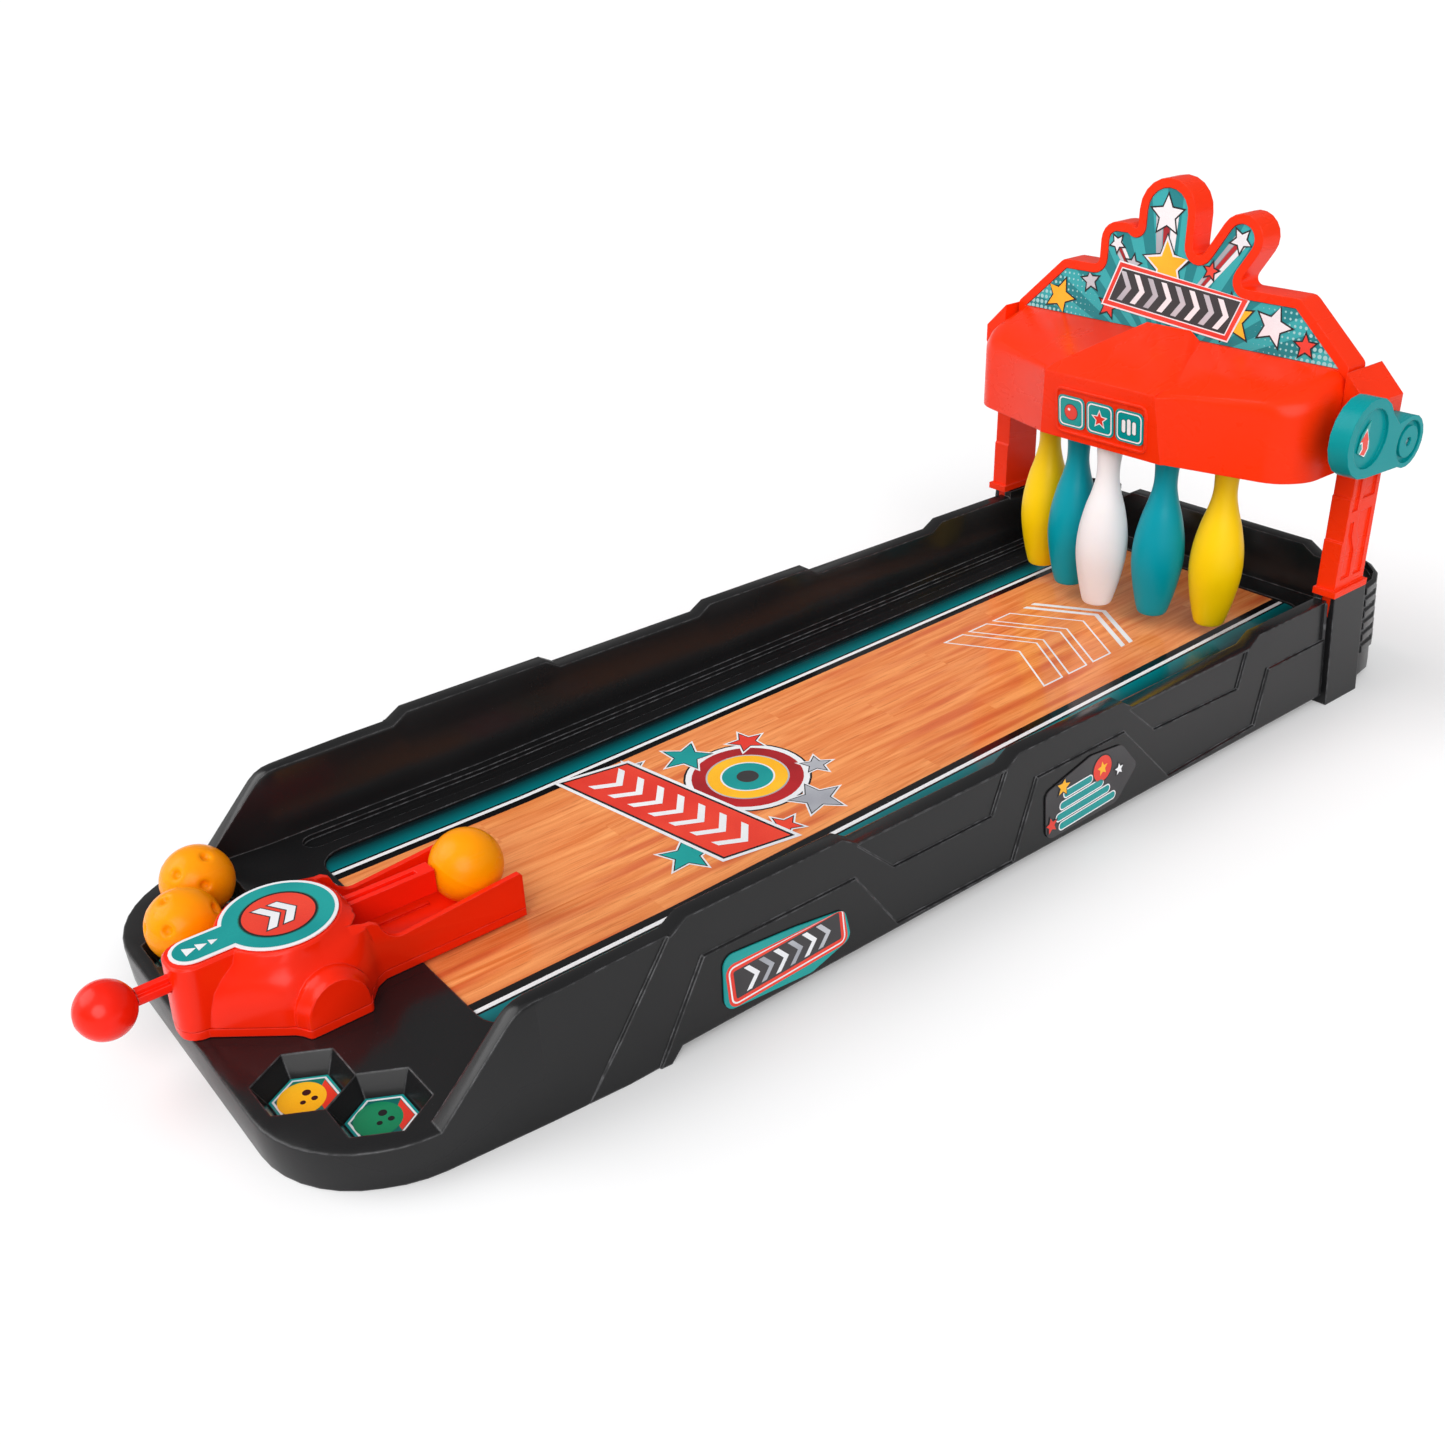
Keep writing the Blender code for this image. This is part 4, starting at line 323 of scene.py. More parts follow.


# The black's rounded edges are mixed far paler, to a pale grey: a painted highlight along its rims
BLACK = moulded("black_moulded", seen(26, 26, 27), 0.20, mottle=0.10, gloss=0.34, speck=0.10,
                edge=0.0010, edge_value=18.0, wear_and_glint=0.6, waves=0.0001)
ORANGE = moulded("orange_moulded", seen(243, 48, 3), 0.28, 0.03, gloss=0.15, translucent=0.02)
RED = moulded("red_moulded", seen(240, 36, 4), 0.22, 0.04, gloss=0.22, translucent=0.02)
KNOB_RED = moulded("knob_red", seen(247, 32, 10), 0.20, 0.04, gloss=0.24, translucent=0.04)
BALL_YELLOW = moulded("ball_yellow", seen(255, 153, 0), 0.26, mottle=0.03, gloss=0.15, translucent=0.12)
TEAL = moulded("teal_moulded", seen(0, 142, 146), 0.30, gloss=0.13, translucent=0.02)
PIN_TEAL = moulded("pin_teal", seen(0, 149, 165), 0.36, gloss=0.18, translucent=0.03)
PIN_YELLOW = moulded("pin_yellow", seen(252, 208, 0), 0.40, translucent=0.05)
PIN_WHITE = moulded("pin_white_plastic", seen(236, 233, 234), 0.40, mottle=0.01, translucent=0.05)
STEEL = bright_steel("bright_steel")


# Printed films

GRAIN_SCALE = 2600
GRAIN_SWING = 0.045
SMEAR_SCALE = 120
SMEAR_LESS, SMEAR_MORE = 0.04, 0.06
RIPPLE_SCALE = 35
RIPPLE_DEPTH = 0.00025
RIPPLE_STRENGTH = 0.25
FILM_SHINE = 0.2
CLOUD_SCALE = 28
CLOUD_LEVELS = 0.35, 0.65

# The lane's wood: boards, the step of their ends from row to row, how each moves its streaks and
# how much of its own tone it shows, then the textures within them
BOARD_WIDTH = 0.019
BOARD_LENGTH = 0.16
BOARD_JOG = 0.37
BOARD_SHIFT = (0.37, 0.71, 0)
BOARD_MOST = 0.30
STREAK_SCALE = 300
STREAK_STRETCH = (1, 0.05, 1)
STREAK_DISTORTION = 0.7
PORE_SCALE = 1500
PORE_STRETCH = (1, 0.035, 1)
PORE_LEVELS = 0.58, 0.70
PORE_MOST = 0.45
FLAME_SCALE = 26
FLAME_DISTORTION = 5.5
FLAME_STRETCH = (1, 0.14, 1)
FLAME_LEVELS = 0.50, 0.95
FLAME_MOST = 0.70
FLAME_PATCH_SCALE = 9
FLAME_PATCH_LEVELS = 0.46, 0.60
WOOD_LOW, WOOD_HIGH = seen(221, 117, 56), seen(250, 168, 101)
WOOD_BOARD = seen(226, 126, 66)
WOOD_FLAME = seen(206, 84, 46)
WOOD_PORE = seen(184, 88, 44)

# The lane's lines, as how far from its middle each begins, and the fade in its margin
LINE_STARTS = (0.0548, 0.0590, 0.0612, 0.0624)
MARGIN_FADE = 0.0635, 0.0735
LINE_BLACK, LINE_WHITE = seen(14, 14, 16), seen(240, 240, 242)
MARGIN_TEAL, MARGIN_DARK = seen(0, 112, 118), seen(6, 24, 28)

# The header's rays and dots, and how far from its middle the dots begin and are largest
BURST_Z = 0.150
BURST_RAYS = 30
BURST_EDGE = 0.05
BURST_DARK, BURST_LIGHT = seen(0, 128, 134), seen(44, 168, 172)
DOT_PITCH = 0.0030
DOT_FADE = 0.045, 0.095
DOT_MOST = 0.44
DOT_TEAL = seen(150, 208, 208)


def film_finish(shader, colour, roughness=0.2, coat=0.35, coat_roughness=0.06):
    """The finish of printed film: ink grain under a thin clear layer that isn't quite flat."""
    smears = shader.noise(SMEAR_SCALE, 4)
    wavy = shader.relief(shader.noise(RIPPLE_SCALE, 2), RIPPLE_DEPTH, RIPPLE_STRENGTH)
    least, most = roughness - SMEAR_LESS, roughness + SMEAR_MORE
    shader.set(
        Base_Color=shader.tinted(colour, shader.noise(GRAIN_SCALE, 2), GRAIN_SWING),
        Roughness=shader.spread(smears, *NOISE_LEVELS, least, most),
        Normal=wavy,
        Coat_Normal=wavy,
        Specular_IOR_Level=FILM_SHINE,
        Coat_Weight=coat,
        Coat_Roughness=coat_roughness,
    )
    return shader.material


def ink(name, colour, second):
    """One printed colour, which runs into a second one in soft clouds."""
    shader = Shader(name)
    clouds = shader.spread(shader.noise(CLOUD_SCALE, 2), *CLOUD_LEVELS)
    return film_finish(shader, shader.mix(clouds, colour, second))


def wood_colour(shader):
    """Printed strip wood: boards along Y with streaks, pores and flame figures."""
    row = shader.calc("FLOOR", shader.calc("DIVIDE", shader.axis("X"), BOARD_WIDTH))
    jog = shader.calc("FRACT", shader.calc("MULTIPLY", row, BOARD_JOG))
    along = shader.calc("ADD", shader.calc("DIVIDE", shader.axis("Y"), BOARD_LENGTH), jog)
    board = shader.node("CombineXYZ", X=row, Y=shader.calc("FLOOR", along)).outputs["Vector"]
    tone = shader.node("TexWhiteNoise", Vector=board).outputs["Value"]
    shifted = shader.calc("MULTIPLY_ADD", board, BOARD_SHIFT, shader.scaled(*STREAK_STRETCH),
                          kind="VectorMath")
    streaks = shader.noise(STREAK_SCALE, 7, shifted, STREAK_DISTORTION)
    wood = shader.mix(shader.spread(streaks, *NOISE_LEVELS), WOOD_LOW, WOOD_HIGH)
    wood = shader.mix(shader.spread(tone, 0, 1, 0.0, BOARD_MOST), wood, WOOD_BOARD)
    flame = shader.node("TexWave", {"bands_direction": "X"}, Vector=shader.scaled(*FLAME_STRETCH),
                        Scale=FLAME_SCALE, Distortion=FLAME_DISTORTION, Detail=3, Detail_Scale=1.2)
    patches = shader.spread(shader.noise(FLAME_PATCH_SCALE, 2), *FLAME_PATCH_LEVELS)
    figure = shader.spread(flame.outputs["Fac"], *FLAME_LEVELS, 0.0, FLAME_MOST)
    wood = shader.mix(shader.calc("MULTIPLY", figure, patches), wood, WOOD_FLAME)
    pores = shader.noise(PORE_SCALE, 3, shader.scaled(*PORE_STRETCH))
    return shader.mix(shader.spread(pores, *PORE_LEVELS, 0.0, PORE_MOST), wood, WOOD_PORE)


def lane_film():
    """The lane's sheet: wood between black and white lines, with a teal margin outside them."""
    shader = Shader("lane_film")
    offset = shader.calc("ABSOLUTE", shader.calc("SUBTRACT", shader.axis("X"), MIDDLE_X))
    margin = shader.mix(shader.spread(offset, *MARGIN_FADE), MARGIN_TEAL, MARGIN_DARK)
    colour = wood_colour(shader)
    for start, shown in zip(LINE_STARTS, (LINE_BLACK, LINE_WHITE, LINE_BLACK, margin)):
        colour = shader.mix(shader.calc("GREATER_THAN", offset, start), colour, shown)
    return film_finish(shader, colour, roughness=0.16, coat=0.32, coat_roughness=0.03)


def burst_film():
    """The header's ground: teal rays from a low middle point, with a fine dot screen to each side."""
    shader = Shader("burst_film")
    across = shader.calc("SUBTRACT", shader.axis("X"), MIDDLE_X)
    up = shader.calc("SUBTRACT", shader.axis("Z"), BURST_Z)
    rays = shader.calc("SINE", shader.calc("MULTIPLY", shader.calc("ARCTAN2", up, across), BURST_RAYS))
    ground = shader.mix(shader.spread(rays, -BURST_EDGE, BURST_EDGE), BURST_DARK, BURST_LIGHT)
    squares = []
    for way in (across, up):
        cell = shader.calc("FRACT", shader.calc("DIVIDE", way, DOT_PITCH))
        squares.append(shader.calc("POWER", shader.calc("SUBTRACT", cell, 0.5), 2))
    reach = shader.calc("SQRT", shader.calc("ADD", *squares))
    size = shader.spread(shader.calc("ABSOLUTE", across), *DOT_FADE, 0.0, DOT_MOST)
    ground = shader.mix(shader.calc("LESS_THAN", reach, size), ground, DOT_TEAL)
    return film_finish(shader, ground, coat=0.5)


LANE_FILM = lane_film()
BURST_FILM = burst_film()
INK_WHITE = ink("ink_white", seen(238, 238, 240), seen(228, 229, 233))
INK_GREY = ink("ink_grey", seen(196, 198, 204), seen(158, 160, 168))
INK_BLACK = ink("ink_black", seen(24, 22, 24), seen(34, 31, 33))
INK_RED = ink("ink_red", seen(222, 52, 38), seen(234, 66, 46))
INK_DEEP_RED = ink("ink_deep_red", seen(150, 18, 28), seen(186, 28, 34))
INK_TEAL = ink("ink_teal", seen(0, 142, 142), seen(20, 156, 152))
INK_DARK_TEAL = ink("ink_dark_teal", seen(8, 92, 88), seen(22, 122, 106))
INK_GREEN = ink("ink_green", seen(14, 128, 84), seen(28, 138, 96))
INK_YELLOW = ink("ink_yellow", seen(248, 176, 20), seen(252, 192, 40))
INK_DARK = ink("ink_dark", seen(52, 50, 52), seen(62, 60, 62))


# Meshes


def smooth_cad(node):
    """Joins a CAD node's loose triangles and shades it smooth between its real edges."""
    mesh = node.data
    if "custom_normal" in mesh.attributes:
        mesh.attributes.remove(mesh.attributes["custom_normal"])
    mesh.shade_smooth()
    weld = node.modifiers.new("join", "WELD")
    weld.merge_threshold = WELD
    split = node.modifiers.new("real edges", "EDGE_SPLIT")
    split.split_angle = math.radians(SMOOTH_ANGLE)


def paint(material, *names):
    for name in names:
        nodes[name].data.materials.clear()
        nodes[name].data.materials.append(material)
        smooth_cad(nodes[name])


def piece(name, mesh, materials, body, stands_for=()):
    """An object of its own made from a mesh, riding on a body of the frame."""
    data = bpy.data.meshes.new(name)
    mesh.to_mesh(data)
    mesh.free()
    for material in materials:
        data.materials.append(material)
    made = bpy.data.objects.new(name, data)
    bpy.context.scene.collection.objects.link(made)
    if stands_for:
        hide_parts(*stands_for)
    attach(made, body)
    return made


def smoothed(mesh):
    for face in mesh.faces:
        face.smooth = True
    return mesh


def turned(profile, steps, centre):
    """A profile of (radius, height) pairs spun about an upright axis through the centre."""
    mesh = bmesh.new()
    turns = [math.tau * i / steps for i in range(steps)]
    rings = []
    for radius, height in profile:
        places = [(radius * math.cos(turn), radius * math.sin(turn), height) for turn in turns]
        if radius == 0:
            places = [(0, 0, height)]
        rings.append([mesh.verts.new(centre + Vector(place)) for place in places])
    for low, high in zip(rings, rings[1:]):
        for i in range(steps):
            j = i + 1
            corners = [low[i % len(low)], low[j % len(low)], high[j % len(high)], high[i % len(high)]]
            mesh.faces.new(list(dict.fromkeys(corners)))
    bmesh.ops.recalc_face_normals(mesh, faces=mesh.faces)
    return smoothed(mesh)


def curve_through(points, steps):
    """Points along a smooth curve through the given ones."""
    made = []
    padded = [points[0]] + list(points) + [points[-1]]
    for a, b, c, d in zip(padded, padded[1:], padded[2:], padded[3:]):
        for step in range(steps):
            t = step / steps
            made.append(tuple(
                0.5 * (2 * q + (r - p) * t + (2 * p - 5 * q + 4 * r - s) * t * t
                       + (3 * q - p - 3 * r + s) * t ** 3)
                for p, q, r, s in zip(a, b, c, d)
            ))
    made.append(tuple(points[-1]))
    return made


def seam_rise(distance, half):
    """How far a moulding seam stands proud at a distance from its middle."""
    return SEAM_PROUD * max(0, 1 - abs(distance) / half)


def dimple_depth(share):
    """A finger dimple's depth at a share of its radius: a steep hole in a shallow dish."""
    if share >= 1:
        return 0
    hole = min(1, max(0, HOLE_STEEPNESS * (HOLE_SHARE - share)))
    return DISH_DEPTH * (1 - share ** 2) + (DIMPLE_DEPTH - DISH_DEPTH) * hole


def ball(name, node, body, dimples):
    """A play ball with its moulding seam, and for the spare ones round finger dimples."""
    low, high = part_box(node)
    centre = (low + high) / 2
    seam = Vector(BALL_SEAM_WAY).normalized()
    axes = [Vector((math.sin(tilt) * math.cos(turn), math.sin(tilt) * math.sin(turn), math.cos(tilt)))
            for turn, tilt in (map(math.radians, dimple) for dimple in dimples)]
    mesh = bmesh.new()
    bmesh.ops.create_uvsphere(mesh, u_segments=BALL_STEPS, v_segments=BALL_STEPS // 2, radius=BALL_R)
    for vert in mesh.verts:
        way = vert.co.normalized()
        shares = [(way - axis).length * BALL_R / DIMPLE_R for axis in axes]
        inwards = max(map(dimple_depth, shares), default=0)
        proud = 0 if inwards else seam_rise(way.dot(seam) * BALL_R, BALL_SEAM_HALF)
        vert.co = way * (BALL_R - inwards + proud - SEAM_PROUD)
        vert.co += centre
    return piece(name, smoothed(mesh), [BALL_YELLOW], body, [node])


def make_knob():
    low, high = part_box("plunger_knob")
    centre = (low + high) / 2
    mesh = bmesh.new()
    bmesh.ops.create_uvsphere(mesh, u_segments=KNOB_STEPS[0], v_segments=KNOB_STEPS[1], radius=KNOB_R)
    for vert in mesh.verts:
        radius = KNOB_R + seam_rise(vert.co.x, KNOB_SEAM_HALF) - SEAM_PROUD
        vert.co = vert.co.normalized() * radius + centre
    piece("knob_skin", smoothed(mesh), [KNOB_RED], "plunger", ["plunger_knob"])


def make_pins():
    """Smooth pins on the CAD pins' axes, hung on their axles inside the hood."""
    side = curve_through([(r * PIN_R, h * PIN_HEIGHT) for r, h in PIN_SIDE], PIN_CURVE_STEPS)
    profile = [(0, 0)] + side + [(0, PIN_HEIGHT)]
    finishes = {"white": PIN_WHITE, "teal": PIN_TEAL, "yellow": PIN_YELLOW}
    for name in ("white", "teal_left", "teal_right", "yellow_left", "yellow_right"):
        low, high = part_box("pin_" + name)
        foot = Vector(((low.x + high.x) / 2, (low.y + high.y) / 2, low.z))
        colour = name.split("_")[0]
        piece(f"pin_{name}_skin", turned(profile, PIN_STEPS, foot), [finishes[colour]],
              "pin_" + name, ["pin_" + name])


def make_spring():
    """The plunger's coil, a piece with a mesh of its own riding on the launcher."""
    mesh = bmesh.new()
    mesh.from_mesh(nodes["plunger_spring"].data)
    coil = piece("plunger_coil", mesh, [STEEL], "launcher", ["plunger_spring"])
    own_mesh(coil)


# Printed shapes, as anticlockwise outlines in a print's own plane

STAR_WAIST = 0.46
DISC_STEPS = 40
CAPSULE_STEPS = 10
CORNER_STEPS = 5
NECK_STEPS = 16
KEYHOLE_STEPS = 56
MITRE_LEAST = 0.35


def star(x, y, radius, turn, waist=STAR_WAIST):
    """A five-pointed star with one point at the turn; the waist is its inner share of the radius."""
    made = []
    for i in range(10):
        reach = radius * (waist if i % 2 else 1)
        angle = math.radians(turn) + math.pi * i / 5
        made.append((x + reach * math.cos(angle), y + reach * math.sin(angle)))
    return made


def disc(x, y, radius, squash=1.0, steps=DISC_STEPS):
    turns = [math.tau * i / steps for i in range(steps)]
    return [(x + radius * math.cos(turn), y + radius * squash * math.sin(turn)) for turn in turns]


def turned_outline(outline, x, y, degrees):
    """The outline, drawn round zero, turned and moved."""
    spin = Matrix.Rotation(math.radians(degrees), 2)
    return [tuple(spin @ Vector(p) + Vector((x, y))) for p in outline]


def bar(x, y, length, width, degrees, slant):
    """A bar whose ends lean along it by the slant on either side."""
    half, tall = length / 2, width / 2
    corners = [(-half - slant, -tall), (half - slant, -tall),
               (half + slant, tall), (-half + slant, tall)]
    return turned_outline(corners, x, y, degrees)


def capsule(x, y, length, width, degrees):
    """A bar with round ends."""
    radius = width / 2
    reach = length / 2 - radius
    points = []
    for end, first in ((1, -90), (-1, 90)):
        for i in range(CAPSULE_STEPS + 1):
            turn = math.radians(first + 180 * i / CAPSULE_STEPS)
            points.append((end * reach + radius * math.cos(turn), radius * math.sin(turn)))
    return turned_outline(points, x, y, degrees)


def soft_box(x, y, width, height, radius, degrees=0):
    """A box with round corners."""
    points = []
    for sx, sy, first in ((1, -1, -90), (1, 1, 0), (-1, 1, 90), (-1, -1, 180)):
        for i in range(CORNER_STEPS + 1):
            turn = math.radians(first + 90 * i / CORNER_STEPS)
            points.append((sx * (width / 2 - radius) + radius * math.cos(turn),
                           sy * (height / 2 - radius) + radius * math.sin(turn)))
    return turned_outline(points, x, y, degrees)


def arrow(x, y, length, width, thick, degrees):
    """A chevron pointing along its own first axis."""
    tip, back = length / 2, -length / 2
    corners = [(back, -width / 2), (back + thick, -width / 2), (tip, 0), (back + thick, width / 2),
               (back, width / 2), (tip - thick, 0)]
    return turned_outline(corners, x, y, degrees)


def arrow_row(x, y, degrees, count, pitch, size, inks, level):
    """Chevrons of one (length, width, thickness) in a row through its middle, their inks by turns."""
    made = []
    spin = math.radians(degrees)
    for i in range(count):
        along = (i - (count - 1) / 2) * pitch
        outline = arrow(x + along * math.cos(spin), y + along * math.sin(spin), *size, degrees)
        made.append((outline, inks[i % len(inks)], level))
    return made


def keyhole(centre_y, neck_y, radius, half):
    """A disc with a round-ended neck to the front edge of the launcher."""
    first = math.asin(half / radius)
    turns = [first + (math.tau - 2 * first) * i / KEYHOLE_STEPS for i in range(KEYHOLE_STEPS + 1)]
    ends = [math.pi * i / NECK_STEPS for i in range(NECK_STEPS + 1)]
    return ([(radius * math.sin(turn), centre_y - radius * math.cos(turn)) for turn in turns]
            + [(-half * math.cos(turn), neck_y - half * math.sin(turn)) for turn in ends])


def grown(outline, distance):
    """The outline moved outwards by a distance."""
    made = []
    count = len(outline)
    for i in range(count):
        here = Vector(outline[i])
        back = (here - Vector(outline[i - 1])).normalized()
        on = (Vector(outline[(i + 1) % count]) - here).normalized()
        right_back = Vector((back.y, -back.x))
        right_on = Vector((on.y, -on.x))
        mitre = (right_back + right_on).normalized()
        made.append(tuple(here + mitre * distance / max(mitre.dot(right_on), MITRE_LEAST)))
    return made


def bordered(outline, shade, level, border, edge):
    """A shape one level above a larger one, which shows as its border."""
    return [(outline, shade, level + 2), (grown(outline, border), edge, level + 1)]


# The sides that prints lie on: the point off the set for a print's (u, v), and the way in from it
TOP = (lambda u, v: at(u, v, 0.1), (0, 0, -1))
FRONT = (lambda u, v: at(u, 0.40, v), (0, 1, 0))
RIGHT = (lambda u, v: at(0.2, u, v), (-1, 0, 0))


def print_on(name, node, shapes, side, body, crease=None):
    """Lays shapes on a node's surface, as (outline, ink, level) or (outline, ink, level, hole).

    A higher level lies over a lower one. The crease is a line of constant v at which the surface
    bends.
    """
    place, towards = side
    graph = bpy.context.evaluated_depsgraph_get()
    ground = BVHTree.FromObject(nodes[node], graph)
    mesh = bmesh.new()
    level_of = mesh.verts.layers.float.new("level")
    inks = []
    for outline, shade, level, *holes in shapes:
        if shade not in inks:
            inks.append(shade)
        verts = [mesh.verts.new((u, v, 0)) for u, v in outline]
        faces = []
        if holes:
            inner = [mesh.verts.new((u, v, 0)) for u, v in holes[0]]
            count = len(verts)
            for i in range(count):
                j = (i + 1) % count
                faces.append(mesh.faces.new((verts[i], verts[j], inner[j], inner[i])))
            verts += inner
        else:
            faces.append(mesh.faces.new(verts))
        for vert in verts:
            vert[level_of] = level
        for face in faces:
            face.material_index = inks.index(shade)
    mesh.normal_update()
    bmesh.ops.triangulate(mesh, faces=mesh.faces, ngon_method="EAR_CLIP")
    if crease is not None:
        bmesh.ops.bisect_plane(mesh, geom=mesh.verts[:] + mesh.edges[:] + mesh.faces[:],
                               plane_co=(0, crease, 0), plane_no=(0, 1, 0))
    towards = Vector(towards)
    depth = 0
    for vert in mesh.verts:
        start = place(vert.co.x, vert.co.y)
        hit, _, _, reached = ground.ray_cast(start, towards)
        if hit is None:
            hit = ground.find_nearest(start + towards * depth)[0]
        else:
            depth = reached
        vert.co = hit - towards * PRINT_LIFT * vert[level_of]
    for face in mesh.faces:
        face.normal_update()
        if face.normal.dot(towards) > 0:
            face.normal_flip()
    return piece(name, mesh, inks, body)


# Prints


def lane_art():
    """A target above a slanted banner of chevrons, stars round both, and chevrons before the pins."""
    x, y, tilt = -0.004, 0.230, 10
    banner = bar(x, y, 0.100, 0.030, tilt, 0.006)
    shapes = bordered(banner, INK_RED, 4, 0.0030, INK_WHITE)
    shapes.append((grown(banner, 0.0012), INK_BLACK, 5.5))
    shapes += arrow_row(x, y, tilt, 7, 0.0128, (0.0125, 0.0200, 0.0042), [INK_WHITE], 8)
    rings = ((0.0300, INK_BLACK), (0.0290, INK_WHITE), (0.0262, INK_DEEP_RED), (0.0196, INK_GREY),
             (0.0188, INK_YELLOW), (0.0128, INK_WHITE), (0.0120, INK_TEAL), (0.0052, INK_DARK))
    for i, (radius, shade) in enumerate(rings):
        shapes.append((disc(x + 0.002, y + 0.042, radius), shade, 1 + i * 0.4))
    stars = (
        (-0.036, 0.262, 0.0120, 60, INK_TEAL), (0.034, 0.283, 0.0125, 20, INK_GREY),
        (-0.027, 0.292, 0.0085, 95, INK_RED), (0.041, 0.258, 0.0075, 40, INK_RED),
        (0.012, 0.302, 0.0070, 75, INK_GREY), (0.030, 0.212, 0.0115, 80, INK_TEAL),
        (-0.045, 0.236, 0.0070, 30, INK_GREY),
    )
    for *where, shade in stars:
        shapes += bordered(star(*where), shade, 1, 0.0013, INK_WHITE)
        shapes.append((grown(star(*where), 0.0005), INK_BLACK, 2.5))
    for back_y in (0.437, 0.456, 0.475):
        outline = lane_arrow(back_y, 0.0125)
        shapes.append((outline, INK_WHITE, 1, grown(outline, -0.0010)))
    for back_y in (0.4975, 0.504):
        shapes.append((lane_arrow(back_y, 0.0032), INK_WHITE, 1))
    print_on("lane_print", "lane_decal", shapes, TOP, "base", crease=0.185)


def lane_arrow(back_y, thick, half=0.034, rise=0.020):
    """A wide chevron across the lane that points towards the pins."""
    return [(-half, back_y), (0, back_y + rise), (half, back_y), (half, back_y + thick),
            (0, back_y + rise + thick), (-half, back_y + thick)][::-1]


def header_art():
    """A banner of chevrons under a large star, stars beside it, and a starred trail up each lobe."""
    shapes = []
    for *tip, width in ((-0.0084, 0.2300, 0.0112), (0.0355, 0.2230, 0.0066), (-0.0375, 0.2128, 0.0050)):
        shapes += trail(Vector((-0.006, 0.170)), Vector(tip), width)
    big = star(-0.0055, 0.2055, 0.0125, 95)
    shapes += bordered(big, INK_YELLOW, 6, 0.0010, INK_WHITE)
    shapes.append((grown(big, 0.0016), INK_BLACK, 6))
    x, z, tilt = 0.0, 0.1890, -5
    banner = bar(x, z, 0.0745, 0.0196, tilt, 0.0030)
    shapes += [(grown(banner, 0.0026), INK_WHITE, 9), (grown(banner, 0.0018), INK_RED, 9.5),
               (grown(banner, -0.0004), INK_WHITE, 10), (grown(banner, -0.0010), INK_DARK, 10.5)]
    shapes += arrow_row(x, z, tilt, 8, 0.0086, (0.0082, 0.0150, 0.0034), [INK_GREY, INK_WHITE], 11.5)
    stars = (
        (-0.073, 0.1805, 0.0098, 70, INK_YELLOW), (-0.053, 0.1915, 0.0055, 100, INK_GREY),
        (-0.040, 0.1800, 0.0060, 80, INK_RED), (0.036, 0.1850, 0.0120, 100, INK_YELLOW),
        (0.0590, 0.1855, 0.0098, 75, INK_WHITE), (0.0775, 0.1790, 0.0055, 95, INK_RED),
        (0.0205, 0.2065, 0.0040, 80, INK_RED), (-0.0265, 0.2035, 0.0044, 85, INK_GREY),
    )
    for *where, shade in stars:
        shapes += bordered(star(*where), shade, 3, 0.0008, INK_BLACK)
    print_on("header_print", "header_decal", shapes, FRONT, "base")


def trail(foot, tip, width):
    """Three stripes that start part of the way up and widen to a star, sized as shares of the width."""
    run = tip - foot
    degrees = math.degrees(math.atan2(run.y, run.x))
    side = Vector((-run.y, run.x)).normalized()
    start = foot + run * 0.30
    made = []
    for offset, shade in ((-1, INK_WHITE), (0, INK_DEEP_RED), (1, INK_GREY)):
        low_mid = start + side * offset * width * 0.22
        high_mid = tip + side * offset * width * 0.42
        half_low, half_high = width * 0.10, width * 0.19
        outline = [low_mid - side * half_low, high_mid - side * half_high,
                   high_mid + side * half_high, low_mid + side * half_low]
        made.append(([tuple(p) for p in outline], shade, 1.2))
    head = star(tip.x, tip.y, width * 0.86, degrees, 0.48)
    return made + bordered(head, INK_WHITE, 3, 0.0008, INK_BLACK)


def launcher_art():
    """A teal field inside a pale border, a red disc with chevrons, and three triangles on the neck."""
    label_r, neck_half, border = 0.0220, 0.0081, 0.0014
    low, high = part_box("launcher_decal")
    y = high.y - FRONT_Y - label_r
    neck_y = low.y - FRONT_Y + neck_half
    shapes = [
        (keyhole(y, neck_y, label_r - border, neck_half - border), INK_TEAL, 2),
        (disc(0, y, 0.0148), INK_DARK_TEAL, 3),
        (disc(0, y, 0.0144), INK_BLACK, 3.5),
        (disc(0, y, 0.0135), INK_RED, 4),
    ]
    for up in (-0.0034, 0.0030):
        shapes += bordered(arrow(0, y + up, 0.0080, 0.0150, 0.0036, 90), INK_WHITE, 5, 0.0005, INK_DARK)
    for foot_y, size in ((0.0092, 0.0054), (0.0140, 0.0046), (0.0188, 0.0036)):
        triangle = [(-size / 2, foot_y), (size / 2, foot_y), (0, foot_y + size * 0.85)]
        shapes.append((triangle, INK_WHITE, 3))
    print_on("launcher_print", "launcher_decal", shapes, TOP, "launcher")


